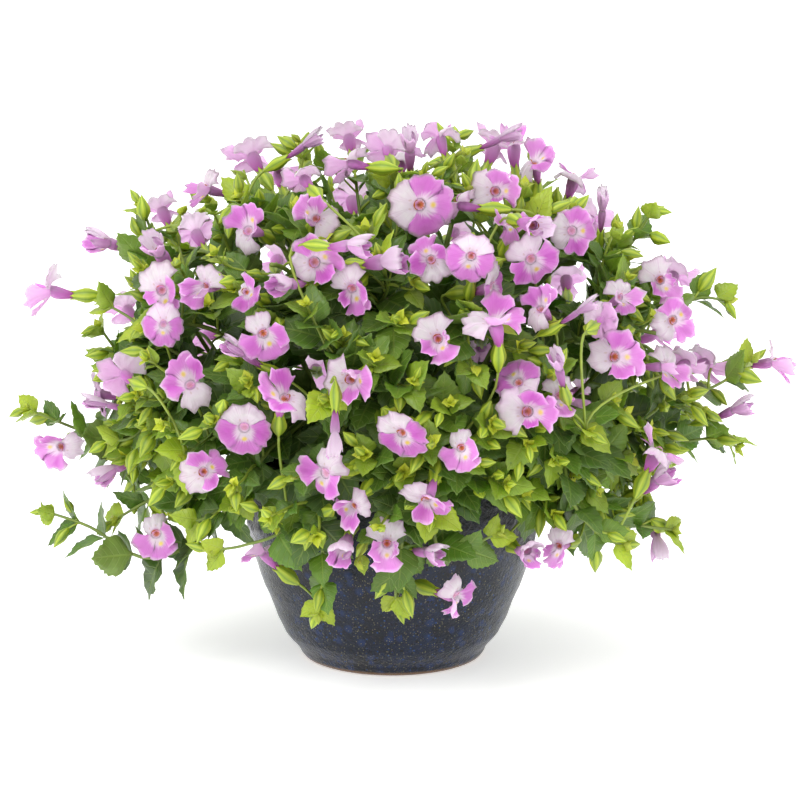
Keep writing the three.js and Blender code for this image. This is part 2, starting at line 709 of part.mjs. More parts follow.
stems.forEach((stem) => stem.branches.forEach((branch) => {
  let turn = leafRandom() * Math.PI;
  leafPairs.forEach(({ fromTip, length, spread }) => {
    const place = pointFromTip(branch.points, fromTip);
    if (!place || (place.point.z < soilTop + 25 && inMouth(place.point))) return;
    const outwards = canopyNormal(place.point);
    const side = squareTo(stem.sideways, place.direction);
    [0, Math.PI].forEach((half) => {
      const heading = side.clone().applyAxisAngle(place.direction, turn + half).multiplyScalar(spread)
        .add(place.direction).addScaledVector(outwards, 0.35).normalize();
      const face = outwards.clone().addScaledVector(upwards, 0.7);
      placeLeaf(stem, place.point, heading, squareTo(face, heading), length * (0.85 + 0.3 * leafRandom()));
    });
    turn += Math.PI / 2;
  });
  const tip = branch.points.at(-1);
  const { direction } = pointFromTip(branch.points, 1);
  const bend = vector(leafRandom() - 0.5, leafRandom() - 0.5, leafRandom() - 0.3).multiplyScalar(0.6);
  placeBud(stem, along(tip, direction, -1), direction.clone().add(bend).normalize(), budLength);
}));

// A leaf or bud that still touches a neighbour on another stem is left out.
function dropCrossing() {
  const pieces = [...stems, ...blossoms.map((blossom) => ({ parts: [blossom] }))]
    .flatMap(({ parts }, owner) => parts.map((part) => ({ part, owner, box: part.body.boundingBox() })));
  const near = (one, other) => [0, 1, 2].every((axis) => (
    one.box.min[axis] < other.box.max[axis] + 1 && other.box.min[axis] < one.box.max[axis] + 1
  ));
  pieces.forEach((one, place) => pieces.slice(place + 1).forEach((other) => {
    if (one.owner === other.owner || !near(one, other) || one.part.dropped || other.part.dropped) return;
    const room = one.part.kept && other.part.kept ? clearance - 0.05 : bodyRoom;
    if (one.part.body.minGap(other.part.body, room) >= room) return;
    if (!one.part.kept) one.part.dropped = true;
    else if (!other.part.kept) other.part.dropped = true;
  }));
}

dropCrossing();

// Everything on a stem joined into one body; a scrap that stays loose or a sealed hollow is left out.
function joinStem(stem) {
  const bodies = stem.parts.filter((part) => !part.dropped).map((part) => part.body);
  const joined = wasm.Manifold.union(bodies).asOriginal().simplify(seamTolerance);
  return joined.decompose().reduce((most, piece) => (piece.volume() > most.volume() ? piece : most));
}

function meshOf(name, body, material) {
  const { vertProperties, triVerts } = body.getMesh();
  const geometry = new THREE.BufferGeometry();
  geometry.setAttribute('position', new THREE.BufferAttribute(vertProperties, 3));
  geometry.setIndex(new THREE.BufferAttribute(triVerts, 1));
  geometry.computeVertexNormals();
  const mesh = new THREE.Mesh(geometry, material);
  mesh.name = name;
  return mesh;
}

const finish = (color, roughness) => new THREE.MeshStandardMaterial({ color, roughness, metalness: 0 });

const group = new THREE.Group();
group.add(meshOf('pot', buildPot(), finish('#2c323f', 0.35)));
group.add(meshOf('soil', buildSoil(stems.map(({ hole }) => hole)), finish('#3a2c20', 0.95)));
stems.forEach((stem) => group.add(meshOf(stem.name, joinStem(stem), finish('#5f8f2c', 0.55))));
blossoms.forEach(({ body }, number) => {
  group.add(meshOf(`bloom_${String(number + 1).padStart(2, '0')}`, body, finish('#dd93e0', 0.6)));
});

export default group;
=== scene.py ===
"""Potted wishbone flower: a mound of leafy stems in full bloom in a round glazed bowl pot."""
import math
import random

import bmesh
import bpy
import numpy as np
from mathutils import Matrix, Vector, noise


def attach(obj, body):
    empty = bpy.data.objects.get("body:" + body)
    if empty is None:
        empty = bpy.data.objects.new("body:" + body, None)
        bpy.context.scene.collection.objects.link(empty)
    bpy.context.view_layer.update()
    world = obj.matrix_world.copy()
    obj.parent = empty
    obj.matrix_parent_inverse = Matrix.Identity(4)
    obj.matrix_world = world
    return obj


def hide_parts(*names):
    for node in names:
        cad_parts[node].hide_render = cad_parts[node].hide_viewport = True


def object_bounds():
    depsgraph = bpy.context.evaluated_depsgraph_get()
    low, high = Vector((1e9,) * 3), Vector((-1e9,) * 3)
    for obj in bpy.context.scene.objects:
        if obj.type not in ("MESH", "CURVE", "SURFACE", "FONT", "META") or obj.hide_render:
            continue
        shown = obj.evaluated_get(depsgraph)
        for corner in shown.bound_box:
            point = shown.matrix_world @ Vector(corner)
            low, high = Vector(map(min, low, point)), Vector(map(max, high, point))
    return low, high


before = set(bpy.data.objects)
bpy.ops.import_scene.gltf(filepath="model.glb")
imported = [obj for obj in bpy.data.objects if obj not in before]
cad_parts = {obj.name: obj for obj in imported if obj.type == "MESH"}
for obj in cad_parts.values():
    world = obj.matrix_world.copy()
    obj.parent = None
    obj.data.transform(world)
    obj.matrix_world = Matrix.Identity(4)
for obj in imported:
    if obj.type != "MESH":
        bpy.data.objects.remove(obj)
cad_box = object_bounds()

# Camera, floor and light
# A product photograph on a white sweep, seen from 2.2 m and 12 degrees above with a long lens. A soft
# box high in front on the left lights the plant, a wide one fills the right, and one stands over it.

MM = 0.001
VIEW_TILT = math.radians(12)
VIEW_DISTANCE = 2200.0
VIEW_TARGET = np.array([5.0, 0.0, 173.7])
VIEW_MIDDLE = 400
PIXELS_PER_MM = 1.5
SENSOR_WIDTH = 36
FLOOR_HALF_WIDTH = 8
PLANT_MIDDLE = Vector((0, 0, 0.2))
VIEW_FORWARD = np.array([0.0, math.cos(VIEW_TILT), -math.sin(VIEW_TILT)])
VIEW_UP = np.array([0.0, math.sin(VIEW_TILT), math.cos(VIEW_TILT)])
VIEW_POINT = VIEW_TARGET - VIEW_DISTANCE * VIEW_FORWARD


def linear(hex_colour):
    """An sRGB hex colour as linear red, green, blue and an alpha of one."""
    parts = [int(hex_colour[place:place + 2], 16) / 255 for place in (1, 3, 5)]
    return [part / 12.92 if part <= 0.04045 else ((part + 0.055) / 1.055) ** 2.4 for part in parts] + [1.0]


# An input is called by its name, or by its number where several share a name: a Map Range has its value at
# 0, its range at 1 and 2 and the new range at 3 and 4, and a Mix its share at 0 and its colours at 6 and 7.
def add_node(material, kind, settings=None, links=None, stops=()):
    """A shader node with its settings, its linked inputs and, on a colour ramp, its places and colours."""
    node = material.node_tree.nodes.new(kind)
    for name, value in (settings or {}).items():
        if isinstance(name, int) or name in node.inputs:
            node.inputs[name].default_value = value
        else:
            setattr(node, name, value)
    for name, source in (links or {}).items():
        material.node_tree.links.new(source, node.inputs[name])
    while stops and len(node.color_ramp.elements) < len(stops):
        node.color_ramp.elements.new(0.5)
    for place, (position, hex_colour) in enumerate(stops):
        node.color_ramp.elements[place].position = position
        node.color_ramp.elements[place].color = linear(hex_colour)
    return node


def empty_material(name):
    """A new material whose nodes are still to be added."""
    material = bpy.data.materials.new(name)
    material.use_nodes = True
    material.node_tree.nodes.clear()
    return material


def finish_material(material, settings, links):
    """The surface shader with its settings and links, joined to the output."""
    surface = add_node(material, "ShaderNodeBsdfPrincipled", settings, links)
    add_node(material, "ShaderNodeOutputMaterial", links={"Surface": surface.outputs["BSDF"]})


def finished_mesh(bm, name):
    """The mesh that a bmesh has grown into."""
    data = bpy.data.meshes.new(name)
    bm.to_mesh(data)
    bm.free()
    return data


lens = bpy.data.cameras.new("camera")
lens.sensor_width = SENSOR_WIDTH
lens.lens = SENSOR_WIDTH * VIEW_DISTANCE * PIXELS_PER_MM / (2 * VIEW_MIDDLE)
lens.clip_end = 20
camera = bpy.data.objects.new("camera", lens)
camera.location = Vector(VIEW_POINT * MM)
camera.rotation_euler = (math.pi / 2 - VIEW_TILT, 0, 0)
bpy.context.collection.objects.link(camera)
bpy.context.scene.camera = camera

# Matt white acrylic, lit a little from below so that the shadow on it stays faint.
sweep = empty_material("white_acrylic_sweep")
finish_material(sweep, {
    "Base Color": linear("#fdfdfd"), "Roughness": 0.9,
    "Emission Color": linear("#ffffff"), "Emission Strength": 0.41,
}, {})

floor_mesh = bmesh.new()
bmesh.ops.create_grid(floor_mesh, x_segments=1, y_segments=1, size=FLOOR_HALF_WIDTH)
floor = bpy.data.objects.new("floor", finished_mesh(floor_mesh, "floor"))
floor.data.materials.append(sweep)
bpy.context.collection.objects.link(floor)

world = bpy.data.worlds.new("studio")
bpy.context.scene.world = world
world.use_nodes = True
world.node_tree.nodes["Background"].inputs["Color"].default_value = linear("#ffffff")
world.node_tree.nodes["Background"].inputs["Strength"].default_value = 1.0
bpy.context.scene.view_settings.view_transform = "Standard"


def soft_box(name, place, size, watts):
    """A square area light that looks at the middle of the plant, with its place and size in metres."""
    light = bpy.data.lights.new(name, "AREA")
    light.shape = "SQUARE"
    light.size = size
    light.energy = watts
    holder = bpy.data.objects.new(name, light)
    holder.location = place
    holder.rotation_euler = (PLANT_MIDDLE - Vector(place)).to_track_quat("-Z", "Y").to_euler()
    bpy.context.collection.objects.link(holder)


soft_box("key_box", (-1.1, -1.7, 2.0), 1.2, 34)
soft_box("fill_box", (1.8, -1.3, 1.1), 1.6, 8)
soft_box("top_box", (0.2, 0.9, 2.2), 1.4, 10)

# Pot
# A thrown stoneware bowl pot, 206 mm across its rim, on a turned foot ring. A blue-black glaze with
# blue and tan flecks was fired over it, and round the rim a black lava crust with a ragged lower edge.

# Outlines as radius and height. The first is the plain one of the CAD solid; the others have more points.
POT_HEIGHT = 142
RIM_RADIUS = 103
POT_OUTLINE = [(58, 0), (65, 8), (73.3, 18.3), (81.5, 38.6), (90, 59), (98, 92), (103, 137), (101, 142)]
OUTLINE_HEIGHTS = [height for _, height in POT_OUTLINE]
OUTLINE_RADII = [radius for radius, _ in POT_OUTLINE]
POT_OUTSIDE = [
    (58, 0), (60.6, 1.2), (62.6, 4), (65, 8), (69.4, 13.2), (73.3, 18.3), (77.8, 28), (81.7, 38.6),
    (86.3, 49), (90.2, 59), (94.6, 75), (98, 92), (100.4, 108), (102.2, 124), (103, 136), (102.6, 139.4),
]
POT_LIP_AND_INSIDE = [
    (101.2, 141.4), (99.2, 142), (97, 141.2), (95.8, 137.5), (93.2, 112), (83, 59), (67, 20), (58, 9),
]
POT_UNDERSIDE = [(10, 9), (10, 3), (38, 3), (40, 0), (58, 0)]
POT_STEPS = 170
LIP_POINTS = 4
WALL_ROW = 2.2
LIP_ROW = 1.2
HIDDEN_ROW = 6
TURNED_FOOT = 5
OUTER_SKIN = 6

# The crust starts at a height that swings slowly round the pot and is ragged at its edge.
CRUST_EDGE = 88.0
EDGE_SWING = 26
EDGE_RAGGEDNESS = 7
EDGE_FADE = 6
LUMP_HEIGHT = 2.0
GLAZE_SINK = 0.2

# Height and fineness of the thrown wall's unevenness.
WOBBLES = ((0.6, 0.022), (0.35, 0.09), (0.2, 0.3))


def finer(outline, spacing):
    """The same outline with more points on its long stretches."""
    points = []
    for (radius, height), following in zip(outline, outline[1:]):
        steps = max(1, round(math.dist((radius, height), following) / spacing))
        for step in range(steps):
            share = step / steps
            out = radius + (following[0] - radius) * share
            up = height + (following[1] - height) * share
            points.append((out, up))
    return points


def crust_cover(x, y, z):
    """How thick the lava crust is at a point of the outer wall, from none to a full coat."""
    edge = CRUST_EDGE + EDGE_SWING * noise.noise(Vector((x, y, 7)) * 0.017)
    edge += EDGE_RAGGEDNESS * noise.noise(Vector((x, y, z)) * 0.08)
    return min(1.0, max(0.0, (z - edge) / EDGE_FADE))


def place_piece(bm, name):
    """The finished mesh as an object that rides on the part; millimetres become metres."""
    bmesh.ops.scale(bm, vec=(MM, MM, MM), verts=bm.verts)
    for face in bm.faces:
        face.smooth = True
    piece = bpy.data.objects.new(name, finished_mesh(bm, name))
    bpy.context.collection.objects.link(piece)
    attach(piece, "root")
    return piece


pot_mesh = bmesh.new()
crust_layer = pot_mesh.verts.layers.float.new("crust")
ring_points = finer(POT_OUTSIDE, WALL_ROW)
ring_points += finer([POT_OUTSIDE[-1]] + POT_LIP_AND_INSIDE[:LIP_POINTS], LIP_ROW)
ring_points += finer(POT_LIP_AND_INSIDE[LIP_POINTS - 1:] + POT_UNDERSIDE, HIDDEN_ROW)
ring = [pot_mesh.verts.new((radius, 0, height)) for radius, height in ring_points]
ring_edges = [pot_mesh.edges.new(pair) for pair in zip(ring, ring[1:] + ring[:1])]
bmesh.ops.spin(
    pot_mesh, geom=ring + ring_edges, cent=(0, 0, 0), axis=(0, 0, 1), angle=2 * math.pi, steps=POT_STEPS,
    use_merge=True,
)
bmesh.ops.remove_doubles(pot_mesh, verts=pot_mesh.verts, dist=0.01)
bmesh.ops.recalc_face_normals(pot_mesh, faces=pot_mesh.faces)
outside_heights = [height for _, height in POT_OUTSIDE]
outside_radii = [radius for radius, _ in POT_OUTSIDE]
for vertex in pot_mesh.verts:
    x, y, z = vertex.co
    reach = math.hypot(x, y)
    if z < TURNED_FOOT or reach < float(np.interp(z, outside_heights, outside_radii)) - OUTER_SKIN:
        continue
    at = Vector((x, y, z))
    cover = crust_cover(x, y, z)
    lumps = LUMP_HEIGHT * noise.fractal(at * 0.17, 0.9, 2.1, 5)
    wobble = sum(height * noise.noise(at * fineness) for height, fineness in WOBBLES)
    push = wobble - GLAZE_SINK + cover * lumps
    vertex[crust_layer] = cover
    vertex.co.x += push * x / reach
    vertex.co.y += push * y / reach

# Stoneware glaze fired over iron and cobalt: glossy blue-black, with blue patches 2 to 8 mm across and tan
# specks of about 1 mm where the oxides broke through. The lava crust is pitted and the foot is bare clay.
glaze = empty_material("cobalt_flecked_stoneware_glaze")
pot_place = add_node(glaze, "ShaderNodeTexCoord").outputs["Object"]
pot_height = add_node(glaze, "ShaderNodeSeparateXYZ", links={"Vector": pot_place}).outputs["Z"]
crust_share = add_node(glaze, "ShaderNodeAttribute", {"attribute_name": "crust"}).outputs["Fac"]
clouds = add_node(
    glaze, "ShaderNodeTexNoise", {"Scale": 34.0, "Detail": 9.0, "Roughness": 0.72}, {"Vector": pot_place},
)
glaze_colour = add_node(
    glaze, "ShaderNodeValToRGB", links={"Fac": clouds.outputs["Fac"]},
    stops=[(0.36, "#090b10"), (0.66, "#0f1d36")],
).outputs["Color"]
# A fleck's radius is a share of its cell, and only the cells that draw more than the last number have one.
for fleck_colour, cells_per_metre, fleck_radius, least_draw in (
    ("#14264a", 150.0, 0.62, 0.66), ("#1c3a68", 420.0, 0.4, 0.86), ("#7d7656", 640.0, 0.26, 0.55),
    ("#5a5646", 360.0, 0.24, 0.5), ("#040406", 300.0, 0.4, 0.6),
):
    cells = add_node(glaze, "ShaderNodeTexVoronoi", {"Scale": cells_per_metre}, {"Vector": pot_place})
    near = add_node(
        glaze, "ShaderNodeMapRange", {1: fleck_radius, 2: fleck_radius * 0.4}, {0: cells.outputs["Distance"]},
    )
    drawn = add_node(glaze, "ShaderNodeSeparateColor", links={"Color": cells.outputs["Color"]})
    chosen = add_node(
        glaze, "ShaderNodeMath", {"operation": "GREATER_THAN", 1: least_draw}, {0: drawn.outputs[0]},
    )
    fleck_share = add_node(
        glaze, "ShaderNodeMath", {"operation": "MULTIPLY"}, {0: near.outputs[0], 1: chosen.outputs[0]},
    )
    glaze_colour = add_node(
        glaze, "ShaderNodeMix", {"data_type": "RGBA", 7: linear(fleck_colour)},
        {0: fleck_share.outputs[0], 6: glaze_colour},
    ).outputs[2]
crust_grit = add_node(glaze, "ShaderNodeTexNoise", {"Scale": 420.0, "Detail": 4.0}, {"Vector": pot_place})
crust_tone = add_node(
    glaze, "ShaderNodeValToRGB", links={"Fac": crust_grit.outputs["Fac"]},
    stops=[(0.42, "#07080c"), (0.7, "#141b29")],
)
crusted = add_node(
    glaze, "ShaderNodeMix", {"data_type": "RGBA"},
    {0: crust_share, 6: glaze_colour, 7: crust_tone.outputs["Color"]},
)
bare_clay = add_node(glaze, "ShaderNodeMapRange", {1: 3.5 * MM, 2: 1.8 * MM}, {0: pot_height})
pot_colour = add_node(
    glaze, "ShaderNodeMix", {"data_type": "RGBA", 7: linear("#6e5138")},
    {0: bare_clay.outputs[0], 6: crusted.outputs[2]},
)
pot_roughness = add_node(glaze, "ShaderNodeMapRange", {3: 0.26, 4: 0.3}, {0: crust_share})
pot_bump_strength = add_node(glaze, "ShaderNodeMapRange", {3: 0.4, 4: 1.0}, {0: crust_share})
pot_bump = add_node(
    glaze, "ShaderNodeBump", {"Distance": 1.8 * MM},
    {"Strength": pot_bump_strength.outputs[0], "Height": crust_grit.outputs["Fac"]},
)
finish_material(glaze, {"IOR": 1.4}, {
    "Base Color": pot_colour.outputs[2], "Roughness": pot_roughness.outputs[0],
    "Normal": pot_bump.outputs["Normal"],
})

pot = place_piece(pot_mesh, "glazed_pot")
pot.data.materials.append(glaze)
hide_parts("pot")

# Soil
# Moist peat compost with bark, filled to 20 mm below the rim; each stem rises from its own hole.

SOIL_TOP = 120

# Peat: nearly black brown crumbs of 2 to 5 mm with paler bark fibre, quite matt.
compost = empty_material("moist_peat_compost")
soil_place = add_node(compost, "ShaderNodeTexCoord").outputs["Object"]
crumbs = add_node(
    compost, "ShaderNodeTexNoise", {"Scale": 260.0, "Detail": 8.0, "Roughness": 0.7}, {"Vector": soil_place},
)
crumb_tone = add_node(
    compost, "ShaderNodeValToRGB", links={"Fac": crumbs.outputs["Fac"]},
    stops=[(0.38, "#17100b"), (0.72, "#57432f")],
)
crumb_bump = add_node(
    compost, "ShaderNodeBump", {"Distance": 3 * MM, "Strength": 1.0}, {"Height": crumbs.outputs["Fac"]},
)
finish_material(compost, {"Roughness": 0.95}, {
    "Base Color": crumb_tone.outputs["Color"], "Normal": crumb_bump.outputs["Normal"],
})
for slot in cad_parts["soil"].material_slots:
    slot.material = compost

# Stems
# 22 green stems, rooted in the compost, arch out to their own part of the mound; side branches
# leave them, and the lowest hang over the rim. Their routes are those of the CAD solids.

STEM_COUNT = 22
STEM_RADIUS = 2.2
BRANCH_RADIUS = 1.5
STALK_RADIUS = 0.9
ROOT_DEPTH = 18
INNERMOST_ROOT = 12
ROOT_SPREAD = 60
COLLAR_HEIGHT = 4
UPRIGHT_REACH = 58
ROUTE_STEPS = 7
DRAWN_STEPS = 24
SAMPLE_SPACING = 5
CANOPY_CENTRE = 186
CANOPY_HALF = np.array([202.0, 186.0, 160.0])
TIP_SHARE = 0.93
LOWEST_POLAR_ANGLE = 1.95
GOLDEN_ANGLE = math.pi * (3 - math.sqrt(5))
UPWARDS = np.array([0.0, 0.0, 1.0])
SOIL_RADIUS = 92.8
SOIL_ROOM = 3
GROUND_ROOM = 14
POT_ROOM = 4
BRANCH_POINT_SPACING = 12
BRANCH_CHOICES = 40
LOW_START = 22
LOW_START_COST = 200
BRANCH_ROOM = 6
BRANCH_TIPS = 54
BRANCH_TIP_SPACING = 58
BRANCH_REACH = 45
BRANCH_SAG = 6
SHOOT_VIGOUR = 0.72
BACK_SHOOTS = 7

# Turn round the mound, angle from the top and share of the canopy, of a shoot that hangs at the back.
BACK_SHOOT_BENDS = [(0, 1.5, 0.93), (0.07, 1.9, 1.03), (0.1, 2.2, 1.03)]

# Shoots that stand out of the mound or hang over the rim, each from its foot to its tip: places in the
# front view in pixels, and how far behind the middle.
SHOOTS_SEEN = [
    [[175, 300, -20], [141, 258, -10], [150, 232, 0], [142, 208, 5]],
    [[190, 360, -40], [150, 335, -30], [130, 318, -20], [106, 304, -15]],
    [[200, 400, 20], [150, 388, 20], [118, 352, 15], [100, 328, 10]],
    [[200, 428, -10], [115, 440, -15], [80, 430, -15], [30, 410, -20]],
    [[200, 400, -60], [160, 416, -60], [130, 438, -60], [112, 440, -60]],
    [[220, 520, -60], [150, 558, -60], [90, 527, -50], [48, 512, -45]],
    [[230, 440, -30], [175, 485, -35], [140, 505, -35], [118, 518, -35]],
    [[270, 450, -100], [240, 495, -110], [205, 518, -110], [190, 520, -110]],
    [[320, 470, -110], [285, 528, -125], [245, 545, -125], [215, 550, -125]],
    [[600, 320, 20], [590, 290, 15], [625, 252, 5], [652, 212, 0]],
    [[640, 330, -20], [668, 310, -10], [700, 298, -5], [724, 300, 0]],
    [[620, 420, -40], [665, 404, -30], [715, 386, -20], [752, 362, -15]],
    [[620, 430, -10], [670, 442, -10], [715, 438, -10], [735, 446, -10]],
    [[540, 500, -90], [590, 522, -80], [640, 526, -70], [672, 530, -65]],
    [[560, 440, -110], [572, 500, -125], [600, 535, -120], [622, 545, -115]],
    [[330, 460, -120], [316, 520, -135], [325, 565, -130], [318, 610, -125]],
    [[450, 470, -125], [434, 530, -140], [450, 553, -140], [496, 534, -138]],
    [[400, 470, -130], [402, 540, -146], [396, 575, -142], [396, 604, -138]],
]


def unit(vector):
    """A direction at unit length."""
    return vector / np.linalg.norm(vector)


def square_to(direction, axis):
    """The part of a direction square to an axis, at unit length."""
    across = direction - axis * direction.dot(axis)
    if np.linalg.norm(across) < 0.05:
        across = np.array([axis[2], 0.3, -axis[0]])
        across = across - axis * across.dot(axis)
    return unit(across)


def turned(direction, axis, angle):
    """A direction turned about an axis."""
    return (
        direction * math.cos(angle) + np.cross(axis, direction) * math.sin(angle)
        + axis * axis.dot(direction) * (1 - math.cos(angle))
    )


def arch(start, start_pull, end_pull, end, steps):
    """Points along a cubic Bezier curve."""
    shares = np.linspace(0, 1, steps + 1)[:, None]
    rest = 1 - shares
    return list(
        rest ** 3 * start + 3 * rest ** 2 * shares * start_pull
        + 3 * rest * shares ** 2 * end_pull + shares ** 3 * end
    )


def through(points, steps):
    """Points along a smooth curve through all the given ones."""
    first = 2 * points[0] - points[1]
    last = 2 * points[-1] - points[-2]
    padded = [first, *points, last]
    curve = []
    for step in range(steps + 1):
        place = step / steps * (len(points) - 1)
        span = min(int(place), len(points) - 2)
        share = place - span
        before, here, following, after = padded[span:span + 4]
        slope = 0.5 * (following - before)
        next_slope = 0.5 * (after - here)
        curve.append(
            here + slope * share + (3 * (following - here) - 2 * slope - next_slope) * share ** 2
            + (2 * (here - following) + slope + next_slope) * share ** 3
        )
    return curve


def samples_along(points, spacing):
    """Points along a route, no further apart than the spacing."""
    samples = []
    for here, following in zip(points, points[1:]):
        steps = math.ceil(np.linalg.norm(following - here) / spacing)
        samples += [here + (following - here) * step / steps for step in range(steps)]
    return samples + [points[-1]]


def canopy_normal(point):
    """The way out of the mound at a point."""
    return unit((point - UPWARDS * CANOPY_CENTRE) / CANOPY_HALF ** 2)


def canopy_point(azimuth, polar, share):
    """The point at a share of the mound's reach, by its turn round it and its angle from the top."""
    across = math.sin(polar)
    round_point = np.array([across * math.cos(azimuth), across * math.sin(azimuth), math.cos(polar)])
    return UPWARDS * CANOPY_CENTRE + share * CANOPY_HALF * round_point


def sight_line(x, y):
    """The line of sight through a pixel of the front view."""
    seen = VIEW_TARGET + np.array([(x - VIEW_MIDDLE) / PIXELS_PER_MM, 0, 0])
    return unit(seen + VIEW_UP * (VIEW_MIDDLE - y) / PIXELS_PER_MM - VIEW_POINT)


def seen_at_depth(x, y, depth):
    """The point seen at a pixel of the front view, at a depth behind the middle."""
    line = sight_line(x, y)
    return VIEW_POINT + line * (depth - VIEW_POINT[1]) / line[1]


class Space:
    """The space taken up so far, as points with an owner."""

    def __init__(self):
        self.points = np.zeros((0, 3))
        self.owners = np.zeros(0, int)

    def is_free(self, points, owner, room, own_room):
        rooms = np.where(self.owners == owner, own_room, room)
        return all((np.linalg.norm(self.points - point, axis=1) > rooms).all() for point in points)

    def take(self, points, owner):
        self.points = np.vstack([self.points, points])
        self.owners = np.append(self.owners, [owner] * len(points))


def clear_of_pot(points, room):
    """Clear of the pot's wall, of the compost and of the ground."""
    for x, y, z in points:
        reach = math.hypot(x, y)
        if z < GROUND_ROOM:
            return False
        if z > POT_HEIGHT + room:
            continue
        if reach < SOIL_RADIUS - room:
            if z <= SOIL_TOP + SOIL_ROOM + room:
                return False
            continue
        outside = float(np.interp(z, OUTLINE_HEIGHTS, OUTLINE_RADII))
        if z <= POT_HEIGHT and reach <= outside + room:
            return False
    return True


space = Space()
stems = []
for number in range(STEM_COUNT):
    share = (number + 0.5) / STEM_COUNT
    azimuth = number * GOLDEN_ANGLE - math.pi / 2
    polar = math.acos(1 - share * (1 - math.cos(LOWEST_POLAR_ANGLE)))
    reach = INNERMOST_ROOT + ROOT_SPREAD * math.sqrt(share)
    root = np.array([reach * math.cos(azimuth), reach * math.sin(azimuth), SOIL_TOP - ROOT_DEPTH])
    collar = np.array([root[0], root[1], SOIL_TOP + COLLAR_HEIGHT])
    tip = canopy_point(azimuth, polar, TIP_SHARE)
    lean = np.array([-0.28 * tip[0], -0.28 * tip[1], 30 * polar - 20])
    pulls = (np.array([root[0], root[1], SOIL_TOP + UPRIGHT_REACH]), tip + lean - 15 * canopy_normal(tip))
    main = {
        "points": [root, *arch(collar, *pulls, tip, ROUTE_STEPS)],
        "path": [root, *arch(collar, *pulls, tip, DRAWN_STEPS)],
        "radii": (STEM_RADIUS, BRANCH_RADIUS),
        "vigour": 1.0,
    }
    sideways = np.array([-math.sin(azimuth), math.cos(azimuth), 0])
    stems.append({"number": number, "sideways": sideways, "branches": [main]})
    space.take(samples_along(main["points"], SAMPLE_SPACING), number)


def add_branch(waypoints, steps, vigour=1.0):
    """A side branch from the nearest stem that it can leave without crossing another one."""
    outwards = canopy_normal(waypoints[0])
    choices = []
    for stem in stems:
        for point in samples_along(stem["branches"][0]["points"], BRANCH_POINT_SPACING):
            behind = waypoints[0] - point
            low = LOW_START_COST if point[2] < SOIL_TOP + LOW_START else 0
            choices.append((np.linalg.norm(behind) - 0.6 * behind.dot(outwards) + low, stem, point))
    choices.sort(key=lambda choice: choice[0])
    for _, stem, point in choices[:BRANCH_CHOICES]:
        points = through([point, *waypoints], steps)
        samples = samples_along(points, SAMPLE_SPACING)
        if space.is_free(samples, stem["number"], BRANCH_ROOM, 0) and clear_of_pot(samples, POT_ROOM):
            path = through([point, *waypoints], 4 * steps)
            radii = (BRANCH_RADIUS, STALK_RADIUS)
            stem["branches"].append({"points": points, "path": path, "radii": radii, "vigour": vigour})
            space.take(samples, stem["number"])
            return


for shoot in SHOOTS_SEEN:
    add_branch([seen_at_depth(*waypoint) for waypoint in shoot], ROUTE_STEPS, SHOOT_VIGOUR)
for number in range(BACK_SHOOTS):
    azimuth = math.pi * (0.04 + 0.92 * (number + 0.5) / BACK_SHOOTS)
    waypoints = [canopy_point(azimuth + turn, polar, share) for turn, polar, share in BACK_SHOOT_BENDS]
    add_branch(waypoints, 5, SHOOT_VIGOUR)
for number in range(BRANCH_TIPS):
    share = (number + 0.5) / BRANCH_TIPS
    polar = math.acos(1 - share * (1 - math.cos(LOWEST_POLAR_ANGLE)))
    tip = canopy_point(number * GOLDEN_ANGLE + 1, polar, TIP_SHARE)
    tips = [branch["points"][-1] for stem in stems for branch in stem["branches"]]
    if min(np.linalg.norm(other - tip) for other in tips) > BRANCH_TIP_SPACING:
        add_branch([tip - BRANCH_REACH * canopy_normal(tip) + BRANCH_SAG * UPWARDS, tip], 4)

# Blooms
# Wishbone flowers, 23 to 40 mm across when open: a tube from the calyx flares into a broad pale upper lip,
# two lilac side lobes and a lower lobe with a yellow spot. The first 34 are CAD nodes of their own.

LIMB_DEPTH = 17
CALYX_LENGTH = 19
OWN_NODE_BLOOMS = 34
BLOOM_PUSHES = [0, -6, 6, -12, 12, -18, 18, -26, 26, -36, -48, 36, 48]
BLOOM_ROOM = 7.5
FIRST_BLOOM_OWNER = 1000
BACK_BLOOMS = 24
BACK_BLOOM_SHARE = 1.06
GOLDEN_SHARE = 0.618034
RANDOM_FACTOR = 16807
RANDOM_PRIME = 2147483647
DEPTH_BESIDE_MOUND = -15

